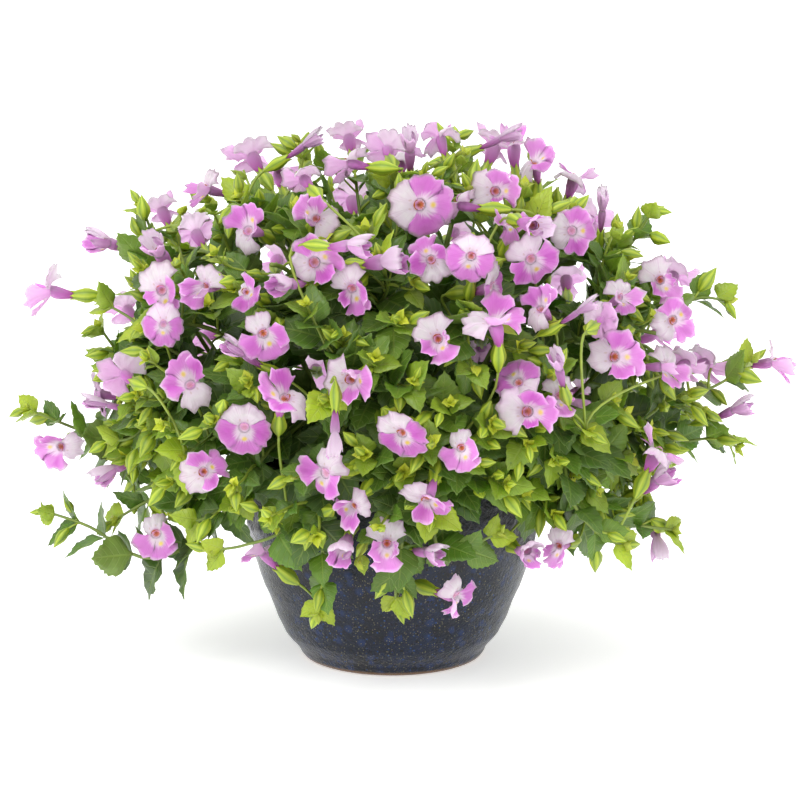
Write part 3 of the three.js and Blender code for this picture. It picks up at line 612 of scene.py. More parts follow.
# Place in the front view in pixels, width in pixels, turn to the right and up in degrees, and the
# clock hour that the upper lip points to; then how far behind the middle, for those beside the mound.
BLOOMS_SEEN = [
    [48, 295, 54, -90, 0, 12], [163, 295, 56, -15, 5, 11], [187, 380, 52, -10, 40, 5],
    [250, 226, 52, -25, 25, 7], [319, 260, 57, 0, 0, 8], [425, 205, 60, -5, 5, 9],
    [266, 338, 50, 10, -10, 11], [280, 396, 54, 5, 55, 3], [244, 433, 52, -5, -5, 12],
    [207, 470, 48, -5, 5, 8], [355, 380, 54, -15, 0, 9], [403, 438, 50, -30, -15, 11],
    [322, 478, 54, -40, 0, 1], [387, 549, 50, 0, 0, 12], [458, 600, 46, 55, -10, 11, -142],
    [440, 343, 50, -5, 10, 11], [499, 320, 60, 0, 75, 9], [533, 412, 58, 0, 5, 9],
    [500, 191, 52, -5, 10, 9], [538, 160, 42, 0, 70, 8], [577, 231, 50, 5, 5, 9],
    [429, 256, 46, 0, 5, 5], [470, 261, 48, 0, -5, 12.5], [534, 264, 54, 10, -5, 11],
    [663, 284, 48, 10, 5, 11], [677, 318, 48, 15, 5, 8], [620, 357, 56, 10, 5, 9],
    [706, 366, 50, 140, 0, 1], [775, 366, 46, 75, 0, 12], [657, 450, 52, 140, 50, 1],
    [158, 538, 50, -5, 0, 11, -75], [56, 447, 46, -20, 0, 3], [122, 377, 46, -150, 0, 1],
    [437, 136, 42, -150, 50, 1],
    [105, 246, 32, -50, 10, 12], [160, 254, 32, -30, 45, 11], [203, 290, 42, -35, 0, 1],
    [163, 327, 40, 0, 30, 12], [205, 192, 42, -55, 10, 12], [303, 181, 42, -160, 10, 12],
    [312, 216, 46, 0, 25, 4], [353, 249, 30, 60, 0, 11], [286, 287, 28, -40, 0, 1],
    [248, 293, 38, -20, 20, 10], [388, 262, 34, 65, 10, 9], [354, 293, 48, -10, -10, 11],
    [346, 166, 44, -110, 0, 12], [385, 151, 42, -170, 10, 1], [455, 208, 42, -100, 0, 12],
    [350, 508, 38, -30, -20, 2], [430, 502, 50, -10, -35, 10], [463, 452, 44, -10, 0, 11],
    [516, 378, 46, -15, 35, 5], [560, 400, 42, 15, 10, 12], [495, 290, 46, 60, 10, 11],
    [543, 305, 42, -20, 40, 7], [510, 224, 36, 10, 50, 12], [530, 226, 32, 20, 0, 3],
    [622, 300, 36, 30, 20, 12], [603, 321, 36, 160, 0, 10], [665, 370, 40, 50, 0, 1],
    [686, 366, 44, 150, 0, 1], [737, 412, 26, 60, 20, 12], [662, 482, 34, 60, 30, 11],
    [656, 541, 24, 20, -60, 12, -60], [114, 473, 28, -70, -30, 12, -40], [258, 553, 42, -70, 40, 12, -112],
    [344, 551, 34, -10, -20, 12], [430, 556, 28, 40, 0, 12], [528, 556, 34, 20, 0, 12],
    [558, 550, 38, -25, 0, 12], [335, 437, 20, 0, -60, 12], [240, 355, 22, -60, 30, 12],
    [308, 146, 20, 70, 30, 12], [410, 150, 24, 0, 60, 12], [504, 140, 20, 80, 20, 12],
    [603, 209, 18, 10, 70, 12], [103, 406, 18, -80, 10, 12], [582, 312, 16, 60, 30, 12],
    [558, 369, 20, -20, 50, 12],
]

# Reach, half the opening angle and how far it lies forwards, for each lobe of the CAD blooms from the lip on.
CAD_LOBES = [(1, 36, -0.12), (0.92, 27, 0.12), (0.95, 25, 0.06), (0.92, 27, 0.12)]


def random_from(seed):
    """The same row of numbers between 0 and 1 as in the part's own source."""
    state = seed
    while True:
        state = state * RANDOM_FACTOR % RANDOM_PRIME
        yield state / RANDOM_PRIME


def seen_on_mound(x, y, depth_beside):
    """Where a pixel's line of sight meets the front of the mound, or a plane beside it."""
    line = sight_line(x, y)
    start = (VIEW_POINT - UPWARDS * CANOPY_CENTRE) / CANOPY_HALF
    step = line / CANOPY_HALF
    a = step.dot(step)
    b = start.dot(step)
    root = b * b - a * (start.dot(start) - 1)
    if root < 0 or depth_beside is not None:
        return seen_at_depth(x, y, DEPTH_BESIDE_MOUND if depth_beside is None else depth_beside)
    return VIEW_POINT + line * (-b - math.sqrt(root)) / a


def bloom_samples(bloom):
    """Points on the rim, half way in, down the tube and in the calyx."""
    middle, facing, lip, radius = bloom["middle"], bloom["facing"], bloom["lip"], bloom["radius"]
    side = np.cross(facing, lip)
    rim = []
    for place, (reach, half_angle, forward) in enumerate(CAD_LOBES):
        corners = [(90 * place - half_angle, reach, forward), (90 * place + half_angle, reach, forward)]
        for degrees, far, rise in [*corners, (90 * place + 45, 0.66, 0.05)]:
            turn = math.radians(degrees)
            across = far * (lip * math.cos(turn) + side * math.sin(turn))
            rim.append(middle + radius * (across + rise * facing))
    half = [(point + middle) / 2 for point in rim]
    tube = [middle - facing * LIMB_DEPTH * share for share in (0, 0.5, 1)]
    calyx = [middle - facing * (LIMB_DEPTH + CALYX_LENGTH * share) for share in (0.4, 0.8)]
    return [*rim, *half, *tube, *calyx]


blooms = []


def place_bloom(spots, facing, lip, radius):
    """Puts a bloom at the first of a few places where nothing else is yet."""
    for middle in spots:
        bloom = {"middle": middle, "facing": facing, "lip": square_to(lip, facing), "radius": radius}
        samples = bloom_samples(bloom)
        if space.is_free(samples, -1, BLOOM_ROOM, BLOOM_ROOM) and clear_of_pot(samples, POT_ROOM):
            blooms.append(bloom)
            space.take(samples, FIRST_BLOOM_OWNER + len(blooms))
            return


for x, y, width, turn_right, turn_up, hour, *beside in BLOOMS_SEEN:
    yaw = math.radians(turn_right)
    pitch = math.radians(turn_up)
    facing = np.array([math.sin(yaw) * math.cos(pitch), -math.cos(yaw) * math.cos(pitch), math.sin(pitch)])
    clock = hour / 12 * 2 * math.pi
    on_mound = seen_on_mound(x, y, beside[0] if beside else None)
    spots = [on_mound + sight_line(x, y) * push for push in BLOOM_PUSHES]
    place_bloom(spots, facing, np.array([math.sin(clock), 0, math.cos(clock)]), width / PIXELS_PER_MM / 2)

CAD_BLOOM_SEED = 4711
back_random = random_from(CAD_BLOOM_SEED)
for number in range(BACK_BLOOMS):
    azimuth = math.pi * (0.06 + 0.88 * (number * GOLDEN_SHARE % 1))
    polar = 0.35 + 1.5 * (number + 0.5) / BACK_BLOOMS
    middle = canopy_point(azimuth, polar, BACK_BLOOM_SHARE)
    outwards = canopy_normal(middle)
    sway = np.array([next(back_random) - 0.5, next(back_random) - 0.3, next(back_random) - 0.6])
    lip = np.array([next(back_random) - 0.5, 0, 1])
    radius = 14 + 4 * next(back_random)
    spots = [middle - outwards * abs(push) for push in BLOOM_PUSHES]
    place_bloom(spots, unit(outwards + sway), lip, radius)

# For each lobe and the angle that it points to: half its opening angle, its reach from the throat, how
# deep the notches beside it are, how far it fans out over its neighbours, how far forwards it lies in
# millimetres, and steps round it.
LOBES = {
    0: (70, 16.8, 0.14, 0.04, -1.3, 18),
    107: (38, 17.4, 0.26, 0.4, 0.9, 10),
    180: (37, 18.4, 0.22, 0.3, 0.1, 10),
    253: (38, 17.4, 0.26, 0.4, 0.9, 10),
}

# Depth and radius down the tube, and shares of the way from the throat to the rim.
TUBE_STATIONS = [(-17, 2.0), (-13, 2.7), (-9, 3.6), (-5, 4.1), (-2.4, 3.7)]
LIMB_SHARES = [0.0, 0.08, 0.2, 0.36, 0.52, 0.68, 0.84, 1.0]

# The lobes are free of each other from the fourth share on. The flat face that the pattern is drawn on is
# 50 mm wide.
PATTERN_RADIUS = 17
FOLDED_RADIUS = 11
SMALLEST_OPEN_RADIUS = 11.5
THROAT_RADIUS = 3.2
THROAT_RISE = 3.0
FREE_FROM = 3
FACE_SIDE = 50
PETAL_THICKNESS = 0.35
PALATE_HALF_WIDTH = 3.4
PALATE_HALF_HEIGHT = 3.2
PALATE_DEPTH = 1.3
STAMEN_RADIUS = 0.24
STAMEN_ARCH_RADIUS = 2.5
STAMEN_STEPS = 9
STAMEN_LEAN = math.radians(-38)
STEP_ANGLES = [
    (centre - half + 2 * half * (step + 0.5) / steps, centre)
    for centre, (half, _, _, _, _, steps) in LOBES.items() for step in range(steps)
]


def limb_point(angle, centre, share, seed, fold):
    """A point of the limb: its turn, its distance out and forwards, its lift, and its distance when flat.

    The rim is frilled, and every lobe is creased along its middle.
    """
    half, reach, notch, fan, layer, _ = LOBES[centre]
    beside = (angle - centre) / half
    turn = math.radians(centre + (angle - centre) * (1 + fan * share))
    frill = 0.026 * math.sin(21 * turn + 3 * seed) + 0.035 * math.sin(9 * turn + 5 * seed + centre)
    frill += 0.13 * noise.noise(Vector((3.6 * math.sin(turn), 3.6 * math.cos(turn), 7.7 * seed)))
    rim = reach * (1 - notch * abs(beside) ** 3 + frill)
    if centre == 0:
        rim *= 1 - 0.07 * math.exp(-(angle / 8) ** 2)
        pleats = 0.35 * math.sin(11 * turn + seed) - 1.0 * math.exp(-(angle / 9) ** 2)
        lift = fold[0]
    elif centre == 180:
        rim *= 1 - 0.05 * math.cos(3 * beside)
        pleats = 0.3 * math.sin(9 * turn + seed) - 0.5 * math.exp(-(beside / 0.3) ** 2)
        lift = fold[1]
    else:
        pleats = 0.3 * math.sin(8 * turn + seed) - 0.9 * math.exp(-(beside / 0.26) ** 2)
        lift = fold[2] + 12 * math.sin(3 * seed + centre)
    curl = 6.0 * math.sin(2.9 * seed + centre) * max(0.0, share - 0.4) ** 2
    hollow = 1.1 * math.sin(2.6 * share) - 1.6 * abs(beside) ** 3 * share
    forward = hollow + curl + layer * share + pleats * min(1, 1.6 * share)
    out = (rim - THROAT_RADIUS) * share
    lift = math.radians(lift) * (0.55 + 0.6 * share)
    far = max(THROAT_RADIUS + out * math.cos(lift) - forward * math.sin(lift), 1.2)
    place = Vector((far * math.sin(turn), far * math.cos(turn), 9.0 * seed))
    crumple = (2.4 * noise.noise(place * 0.13) + 1.3 * noise.noise(place * 0.33)) * share
    lean = 0.2 * far * math.sin(turn + 2.4 * seed) * min(1, 2 * share)
    height = -1.8 * (1 - share) ** 3 + out * math.sin(lift) + forward * math.cos(lift) + crumple + lean
    return turn, far, height, lift, THROAT_RADIUS + out


def lobe_step(vertex):
    """The angle and lobe that a vertex of the spun profile stands for."""
    steps = len(STEP_ANGLES)
    return STEP_ANGLES[round(math.atan2(vertex.co.y, vertex.co.x) / (2 * math.pi) * steps) % steps]


def turn_faces_up(bm):
    """Gives all faces of an open sheet the side that looks along +Z."""
    bmesh.ops.recalc_face_normals(bm, faces=bm.faces)
    if sum(face.normal.z for face in bm.faces) < 0:
        bmesh.ops.reverse_faces(bm, faces=bm.faces)


def corolla_pattern(name, seed, fold):
    """A corolla for a limb 17 mm in radius, its tube running back along -Z and its lip towards +Y."""
    bm = bmesh.new()
    station_layer = bm.verts.layers.float.new("reach")
    lip_layer = bm.verts.layers.float.new("lip")
    inside_layer = bm.verts.layers.float.new("inside")
    bm.verts.layers.float.new("tone")
    face_layer = bm.loops.layers.uv.new("face")
    profile = [bm.verts.new((1 + place, 0, place)) for place in range(len(TUBE_STATIONS) + len(LIMB_SHARES))]
    for place, vertex in enumerate(profile):
        vertex[station_layer] = place
    edges = [bm.edges.new(pair) for pair in zip(profile, profile[1:])]
    steps = len(STEP_ANGLES)
    bmesh.ops.spin(
        bm, geom=profile + edges, cent=(0, 0, 0), axis=(0, 0, 1), angle=2 * math.pi, steps=steps,
        use_merge=True,
    )
    lobe_of = {vertex: lobe_step(vertex) for vertex in bm.verts}
    slits = []
    for face in bm.faces:
        far_out = min(round(vertex[station_layer]) for vertex in face.verts) >= len(TUBE_STATIONS) + FREE_FROM
        if far_out and len({lobe_of[vertex][1] for vertex in face.verts}) == 2:
            slits.append(face)
    bmesh.ops.delete(bm, geom=slits, context="FACES_ONLY")
    turn_faces_up(bm)
    bm.normal_update()
    bmesh.ops.solidify(bm, geom=bm.faces, thickness=0.2)
    bm.normal_update()
    seen_flat = {}
    for vertex in bm.verts:
        place = round(vertex[station_layer])
        angle, centre = lobe_step(vertex)
        inside = vertex.normal.z > 0
        below = 0.0 if inside else PETAL_THICKNESS
        turn = math.radians(angle)
        if place < len(TUBE_STATIONS):
            depth, radius = TUBE_STATIONS[place]
            rise = THROAT_RISE * (1 - depth / TUBE_STATIONS[0][0]) ** 1.5
            radius += below
            vertex.co = (1.1 * radius * math.sin(turn), 0.92 * radius * math.cos(turn) + rise, depth)
            vertex[station_layer] = -depth / TUBE_STATIONS[0][0] - 0.01
            flat = THROAT_RADIUS
        else:
            share = LIMB_SHARES[place - len(TUBE_STATIONS)]
            turn, far, height, lift, flat = limb_point(angle, centre, share, seed, fold)
            far += below * math.sin(lift)
            height -= below * math.cos(lift)
            vertex.co = (far * math.sin(turn), far * math.cos(turn) + THROAT_RISE, height)
            vertex[station_layer] = share
        vertex[lip_layer] = 1.0 if centre == 0 else 0.0
        vertex[inside_layer] = 1.0 if inside else 0.0
        seen_flat[vertex] = (0.5 + flat * math.sin(turn) / FACE_SIDE, 0.5 + flat * math.cos(turn) / FACE_SIDE)
    for face in bm.faces:
        for loop in face.loops:
            loop[face_layer].uv = seen_flat[loop.vert]
    add_palate(bm)
    add_wishbone(bm)
    return finished_mesh(bm, name)


def add_palate(bm):
    """The rust-streaked dish that closes the throat."""
    grown = bmesh.ops.create_uvsphere(bm, u_segments=10, v_segments=5, radius=1.0)["verts"]
    for vertex in grown:
        x, y, z = vertex.co
        dish = -1.5 * z if z > 0 else 3.0 * z
        vertex.co = (PALATE_HALF_WIDTH * x, PALATE_HALF_HEIGHT * y + THROAT_RISE, -PALATE_DEPTH + dish)
    mark_inside(bm, grown, False)


def add_wishbone(bm):
    """Two stamens that arch over the throat from its sides and meet at their anthers."""
    foot = Matrix.Translation((STAMEN_ARCH_RADIUS, 0, 0))
    ring = bmesh.ops.create_circle(bm, segments=5, radius=STAMEN_RADIUS, matrix=foot)["verts"]
    edges = list({edge for vertex in ring for edge in vertex.link_edges})
    grown = set(ring)
    for _ in range(STAMEN_STEPS):
        last = bmesh.ops.extrude_edge_only(bm, edges=edges)["geom"]
        edges = [part for part in last if isinstance(part, bmesh.types.BMEdge)]
        ring = [part for part in last if isinstance(part, bmesh.types.BMVert)]
        bend = Matrix.Rotation(-math.pi / STAMEN_STEPS, 3, "Y")
        bmesh.ops.rotate(bm, verts=ring, cent=(0, 0, 0), matrix=bend)
        grown |= set(ring)
    for vertex in grown:
        middle = Vector((vertex.co.x, 0, vertex.co.z)).normalized() * STAMEN_ARCH_RADIUS
        vertex.co = middle + (vertex.co - middle) * (1 + 1.6 * math.exp(-(middle.x / 0.7) ** 2))
    bmesh.ops.recalc_face_normals(bm, faces=list({face for vertex in grown for face in vertex.link_faces}))
    lean = Matrix.Translation((0, THROAT_RISE + 1.2, -1.4)) @ Matrix.Rotation(STAMEN_LEAN, 4, "X")
    bmesh.ops.transform(bm, matrix=lean, verts=list(grown))
    mark_inside(bm, grown, True)


def mark_inside(bm, vertices, rusty):
    """Gives added parts the attributes of the corolla's inside, and their place on its flat face."""
    station_layer = bm.verts.layers.float["reach"]
    inside_layer = bm.verts.layers.float["inside"]
    face_layer = bm.loops.layers.uv["face"]
    for vertex in vertices:
        vertex[station_layer] = 0.05
        vertex[inside_layer] = 1.0
        across, towards_lip = (0, 0.2) if rusty else (vertex.co.x, vertex.co.y - THROAT_RISE)
        for loop in vertex.link_loops:
            loop[face_layer].uv = (0.5 + across / FACE_SIDE, 0.5 + towards_lip / FACE_SIDE)


# Lift of the lip, of the lower lobe and of the side lobes from the flat, in degrees.
LOBE_LIFTS = [
    (-6, 8, 20), (-26, 20, 34), (8, -10, 8), (-48, 14, 22), (-10, 34, 44), (-22, -18, 6), (2, 18, 52),
]
FOLDED_LIFTS = (56, 62, 62)
open_corollas = [
    corolla_pattern(f"open_corolla_{number}", 1.7 * number, lifts) for number, lifts in enumerate(LOBE_LIFTS)
]
folded_corolla = corolla_pattern("folded_corolla", 0.6, FOLDED_LIFTS)


def plant(bm, pattern, matrix, **values):
    """A copy of a pattern mesh with its own attribute values, put into the growing piece."""
    copy = pattern.copy()
    copy.transform(matrix)
    for name, value in values.items():
        copy.attributes[name].data.foreach_set("value", np.full(len(copy.vertices), value, np.float32))
    bm.from_mesh(copy)
    bpy.data.meshes.remove(copy)


def setting(across, along, up, origin, size=(1, 1, 1)):
    """The matrix that turns a pattern's axes to three directions and puts it in place."""
    columns = [across * size[0], along * size[1], up * size[2], origin]
    return Matrix([[float(column[row]) for column in columns] for row in range(3)] + [[0, 0, 0, 1]])


# Petal of a wishbone flower: thin and velvety, lilac with a paler edge, a nearly white upper lip and a paler
# back. The throat is rust brown on most blooms and pink on the others, with a yellow spot below it.
petal = empty_material("velvety_lilac_petal")
reach_value = add_node(petal, "ShaderNodeAttribute", {"attribute_name": "reach"}).outputs["Fac"]
lip_value = add_node(petal, "ShaderNodeAttribute", {"attribute_name": "lip"}).outputs["Fac"]
inside_value = add_node(petal, "ShaderNodeAttribute", {"attribute_name": "inside"}).outputs["Fac"]
tone_value = add_node(petal, "ShaderNodeAttribute", {"attribute_name": "tone"}).outputs["Fac"]
petal_place = add_node(petal, "ShaderNodeTexCoord").outputs["Object"]
face_map = add_node(petal, "ShaderNodeUVMap", {"uv_map": "face"}).outputs["UV"]
face_flat = add_node(
    petal, "ShaderNodeMapping",
    {"Location": (-FACE_SIDE / 2, -FACE_SIDE / 2, 0), "Scale": (FACE_SIDE, FACE_SIDE, 1)},
    {"Vector": face_map},
)
face_parts = add_node(petal, "ShaderNodeSeparateXYZ", links={"Vector": face_flat.outputs["Vector"]})
face_side = add_node(petal, "ShaderNodeMath", {"operation": "ABSOLUTE"}, {0: face_parts.outputs["X"]})
mirrored = add_node(
    petal, "ShaderNodeCombineXYZ", links={"X": face_side.outputs[0], "Y": face_parts.outputs["Y"]},
)
petal_noise = add_node(petal, "ShaderNodeTexNoise", {"Scale": 160.0, "Detail": 3.0}, {"Vector": petal_place})
ruffled_reach = add_node(
    petal, "ShaderNodeMath", {"operation": "MULTIPLY_ADD", 1: 0.35, 2: -0.17},
    {0: petal_noise.outputs["Fac"]},
)
blotched_reach = add_node(
    petal, "ShaderNodeMath", {"operation": "ADD"}, {0: reach_value, 1: ruffled_reach.outputs[0]},
)
tube_and_limb = add_node(petal, "ShaderNodeMapRange", {1: -1.0, 2: 1.0}, {0: reach_value})

# Fine veins that fan out from the throat to the margin.
fan_angle = add_node(
    petal, "ShaderNodeMath", {"operation": "ARCTAN2"}, {0: face_side.outputs[0], 1: face_parts.outputs["Y"]},
)
fan_place = add_node(
    petal, "ShaderNodeCombineXYZ", links={"X": fan_angle.outputs[0], "Y": reach_value, "Z": tone_value},
)
fan_stretch = add_node(
    petal, "ShaderNodeVectorMath", {"operation": "MULTIPLY", 1: (11.0, 0.8, 3.0)},
    {0: fan_place.outputs["Vector"]},
)
fan_noise = add_node(
    petal, "ShaderNodeTexNoise", {"Scale": 1.0, "Detail": 3.0, "Roughness": 0.6},
    {"Vector": fan_stretch.outputs["Vector"]},
)
fan_share = add_node(petal, "ShaderNodeMapRange", {1: 0.56, 2: 0.74, 4: 0.5}, {0: fan_noise.outputs["Fac"]})

lilac = add_node(
    petal, "ShaderNodeValToRGB", links={"Fac": blotched_reach.outputs[0]},
    stops=[(0.0, "#dcb4d8"), (0.2, "#c97ec4"), (0.85, "#c778c2"), (1.0, "#d498d0")],
).outputs["Color"]
pale_lip = add_node(
    petal, "ShaderNodeValToRGB", links={"Fac": blotched_reach.outputs[0]},
    stops=[(0.0, "#e4c4e2"), (0.5, "#ead2e8"), (0.85, "#e4c2e2"), (1.0, "#d8a2d5")],
).outputs["Color"]
petal_colour = add_node(
    petal, "ShaderNodeMix", {"data_type": "RGBA"}, {0: lip_value, 6: lilac, 7: pale_lip},
).outputs[2]
petal_colour = add_node(
    petal, "ShaderNodeMix", {"data_type": "RGBA", "blend_type": "MULTIPLY", 7: linear("#d8aad2")},
    {0: fan_share.outputs[0], 6: petal_colour},
).outputs[2]
richness = add_node(petal, "ShaderNodeMapRange", {1: 0.1, 2: 0.9, 3: 1.0, 4: 0.25}, {0: tone_value})
fan_swing = add_node(
    petal, "ShaderNodeMath", {"operation": "SUBTRACT", 1: 0.5}, {0: fan_noise.outputs["Fac"]},
)
spread_tone = add_node(petal, "ShaderNodeMath", {"operation": "MULTIPLY", 1: 7.0}, {0: tone_value})
second_tone = add_node(petal, "ShaderNodeMath", {"operation": "FRACT"}, {0: spread_tone.outputs[0]})
rustiness = add_node(
    petal, "ShaderNodeMapRange", {1: 0.15, 2: 0.65, 3: 0.3, 4: 1.0}, {0: second_tone.outputs[0]},
)

# Place on the flat face in millimetres from the throat, stretch, radius, softness, how far the margin
# runs out in streaks, strength, how it differs from bloom to bloom, and colour.
for at, stretch, radius, softness, streaks, strength, variation, hex_colour in (
    ((10.5, -3.0), (1, 1), 8.5, 6.5, 9.0, 0.85, richness, "#ad4ca8"),
    ((0.0, -14.5), (1.1, 1), 6.0, 5.0, 6.0, 0.5, richness, "#bb5fb6"),
    ((0.0, -3.6), (0.9, 1), 7.4, 4.4, 7.0, 0.75, None, "#e6cfe2"),
    ((0.0, -7.2), (1, 1.1), 2.6, 2.1, 0.0, 0.95, None, "#efc262"),
    ((0.0, 0.6), (1, 1), 4.8, 3.6, 3.0, 0.4, None, "#cf78b8"),
    ((0.0, -0.6), (1.0, 1.2), 2.9, 1.7, 6.0, 0.9, rustiness, "#b9682a"),
    ((0.0, 0.6), (1.2, 1.0), 1.9, 1.4, 3.0, 0.8, rustiness, "#7a3a10"),
    ((2.4, 5.0), (1, 0.6), 0.8, 0.5, 0.0, 0.3, None, "#a8602e"),
):
    offset = add_node(
        petal, "ShaderNodeMapping",
        {"Location": (-at[0] * stretch[0], -at[1] * stretch[1], 0), "Scale": (*stretch, 1)},
        {"Vector": mirrored.outputs["Vector"]},
    )
    away = add_node(petal, "ShaderNodeVectorMath", {"operation": "LENGTH"}, {0: offset.outputs["Vector"]})
    streaked = add_node(
        petal, "ShaderNodeMath", {"operation": "MULTIPLY_ADD", 1: streaks},
        {0: fan_swing.outputs[0], 2: away.outputs["Value"]},
    )
    mask = add_node(
        petal, "ShaderNodeMapRange",
        {"interpolation_type": "SMOOTHSTEP", 1: radius, 2: radius - softness, 4: strength},
        {0: streaked.outputs[0]},
    )
    if variation:
        mask = add_node(
            petal, "ShaderNodeMath", {"operation": "MULTIPLY"}, {0: mask.outputs[0], 1: variation.outputs[0]},
        )
    petal_colour = add_node(
        petal, "ShaderNodeMix", {"data_type": "RGBA", 7: linear(hex_colour)},
        {0: mask.outputs[0], 6: petal_colour},
    ).outputs[2]
lobe_back = add_node(
    petal, "ShaderNodeValToRGB", links={"Fac": tube_and_limb.outputs[0]},
    stops=[(0.0, "#b85ca8"), (0.25, "#d07ec6"), (0.5, "#d692d0"), (1.0, "#dba6d6")],
).outputs["Color"]
lip_back = add_node(
    petal, "ShaderNodeValToRGB", links={"Fac": tube_and_limb.outputs[0]},
    stops=[(0.0, "#b85ca8"), (0.3, "#d38ccb"), (0.6, "#e2b8de"), (1.0, "#e8cbe5")],
).outputs["Color"]
back_colour = add_node(
    petal, "ShaderNodeMix", {"data_type": "RGBA"}, {0: lip_value, 6: lobe_back, 7: lip_back},
).outputs[2]
petal_colour = add_node(
    petal, "ShaderNodeMix", {"data_type": "RGBA"}, {0: inside_value, 6: back_colour, 7: petal_colour},
).outputs[2]
petal_tone = add_node(petal, "ShaderNodeMapRange", {3: 0.86, 4: 1.06}, {0: tone_value})
petal_hue = add_node(
    petal, "ShaderNodeHueSaturation", {"Saturation": 1.14},
    {"Value": petal_tone.outputs[0], "Color": petal_colour},
)
vein_relief = add_node(
    petal, "ShaderNodeMath", {"operation": "MULTIPLY_ADD", 1: 0.6},
    {0: petal_noise.outputs["Fac"], 2: fan_noise.outputs["Fac"]},
)
petal_bump = add_node(
    petal, "ShaderNodeBump", {"Distance": 0.8 * MM, "Strength": 0.35}, {"Height": vein_relief.outputs[0]},
)
finish_material(petal, {
    "Roughness": 0.6, "Sheen Weight": 0.2, "Specular IOR Level": 0.3, "Subsurface Weight": 0.8,
    "Subsurface Radius": (1.0, 0.75, 1.0), "Subsurface Scale": 4 * MM,
}, {
    "Base Color": petal_hue.outputs["Color"], "Normal": petal_bump.outputs["Normal"],
})

# Calyces, buds and stalks
# Each bloom sits in a five-winged lime calyx on a thin stalk, and each bud is such a calyx still shut.

# Radius and height from the stalk up; the calyx turns in at its mouth.
CALYX_PROFILE = [
    (0.9, 0), (1.5, 0.9), (3.1, 4.2), (4.5, 8.6), (4.6, 11.6), (3.7, 15.6), (2.9, 18.2), (3.0, 20.4),
    (1.8, 18.6),
]
BUD_LENGTH = 18.4
BUD_PROFILE = [(0.7, 0), (2.4, 2.2), (4.2, 6.4), (4.0, 10), (2.4, 14), (0.2, BUD_LENGTH)]
WINGS = 5
WING_RADIUS = 4.5
BARK_SLOT = 1
RIND_SLOT = 2
STEM_CORNERS = 6
TWIG_CORNERS = 5
STALK_AGE = 0.45
STALK_STEPS = 9
STALK_POINT_SPACING = 9
SHORTEST_STALK = 9
FOOT_ON_SOLID = 2.6
STALK_ON_SOLID = 1.8
FOLIAGE_ROOM = 2
LONG_STALK = 30
PLUMP_FROM = 10
SLENDER = 0.82


def foliage_mesh():
    """An empty mesh with what the foliage materials read: age, rib, tone and a place on the blade."""
    bm = bmesh.new()
    for layer in ("age", "rib", "tone"):
        bm.verts.layers.float.new(layer)
    bm.loops.layers.uv.new("blade")
    return bm


def winged_pattern(name, profile, open_mouth):
    """A calyx or bud along +Z, with a wing on every other step."""
    bm = foliage_mesh()
    rib_layer = bm.verts.layers.float["rib"]
    points = [bm.verts.new((radius, 0, height)) for radius, height in profile]
    edges = [bm.edges.new(pair) for pair in zip(points, points[1:])]
    bmesh.ops.spin(
        bm, geom=points + edges, cent=(0, 0, 0), axis=(0, 0, 1), angle=2 * math.pi, steps=2 * WINGS,
        use_merge=True,
    )
    bmesh.ops.holes_fill(bm, edges=bm.edges)
    top = max(height for _, height in profile)
    for vertex in bm.verts:
        step = round(math.atan2(vertex.co.y, vertex.co.x) / math.pi * WINGS)
        wing = step % 2 == 0
        swell = math.hypot(vertex.co.x, vertex.co.y) / WING_RADIUS
        spread = 1 + (0.14 if wing else -0.12) * swell
        vertex.co.x *= spread
        vertex.co.y *= spread
        if open_mouth and vertex.co.z > top - 0.1:
            vertex.co.z += 1.8 if wing else -2.0
        vertex[rib_layer] = 1.0 if wing else 0.0
    for face in bm.faces:
        face.material_index = RIND_SLOT
    bmesh.ops.recalc_face_normals(bm, faces=bm.faces)
    return finished_mesh(bm, name)


calyx_pattern = winged_pattern("calyx_pattern", CALYX_PROFILE, True)
bud_pattern = winged_pattern("bud_pattern", BUD_PROFILE, False)


def add_shoot(bm, path, radii, corners, age):
    """A tapering shoot drawn out ring by ring along a path."""
    tube = foliage_mesh()
    ring = bmesh.ops.create_circle(tube, segments=corners, radius=1)["verts"]
    edges = list(tube.edges)
    across = square_to(np.array([0.31, 0.17, 0.93]), unit(path[1] - path[0]))
    last = Matrix.Identity(4)
    for place, point in enumerate(path):
        direction = unit(path[min(place + 1, len(path) - 1)] - path[max(place - 1, 0)])
        across = square_to(across, direction)
        radius = radii[0] + (radii[1] - radii[0]) * place / (len(path) - 1)
        here = setting(across, np.cross(direction, across), direction, point, (radius, radius, radius))
        if place:
            grown = bmesh.ops.extrude_edge_only(tube, edges=edges)["geom"]
            ring = [part for part in grown if isinstance(part, bmesh.types.BMVert)]
            edges = [part for part in grown if isinstance(part, bmesh.types.BMEdge)]
        bmesh.ops.transform(tube, matrix=here @ last.inverted(), verts=ring)
        last = here
    bmesh.ops.holes_fill(tube, edges=tube.edges)
    bmesh.ops.recalc_face_normals(tube, faces=tube.faces)
    age_layer = tube.verts.layers.float["age"]
    for vertex in tube.verts:
        vertex[age_layer] = age
    for face in tube.faces:
        face.material_index = BARK_SLOT
    data = finished_mesh(tube, "shoot")
    bm.from_mesh(data)
    bpy.data.meshes.remove(data)


for stem in stems:
    stem["foliage"] = foliage_mesh()
    stem["petals"] = bmesh.new()
    stem["blooms"] = 0

cad_points = []
for stem in stems:
    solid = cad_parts[f"leafy_stem_{stem['number'] + 1:02d}"]
    cad_points.append(np.array([vertex.co for vertex in solid.data.vertices]) / MM)


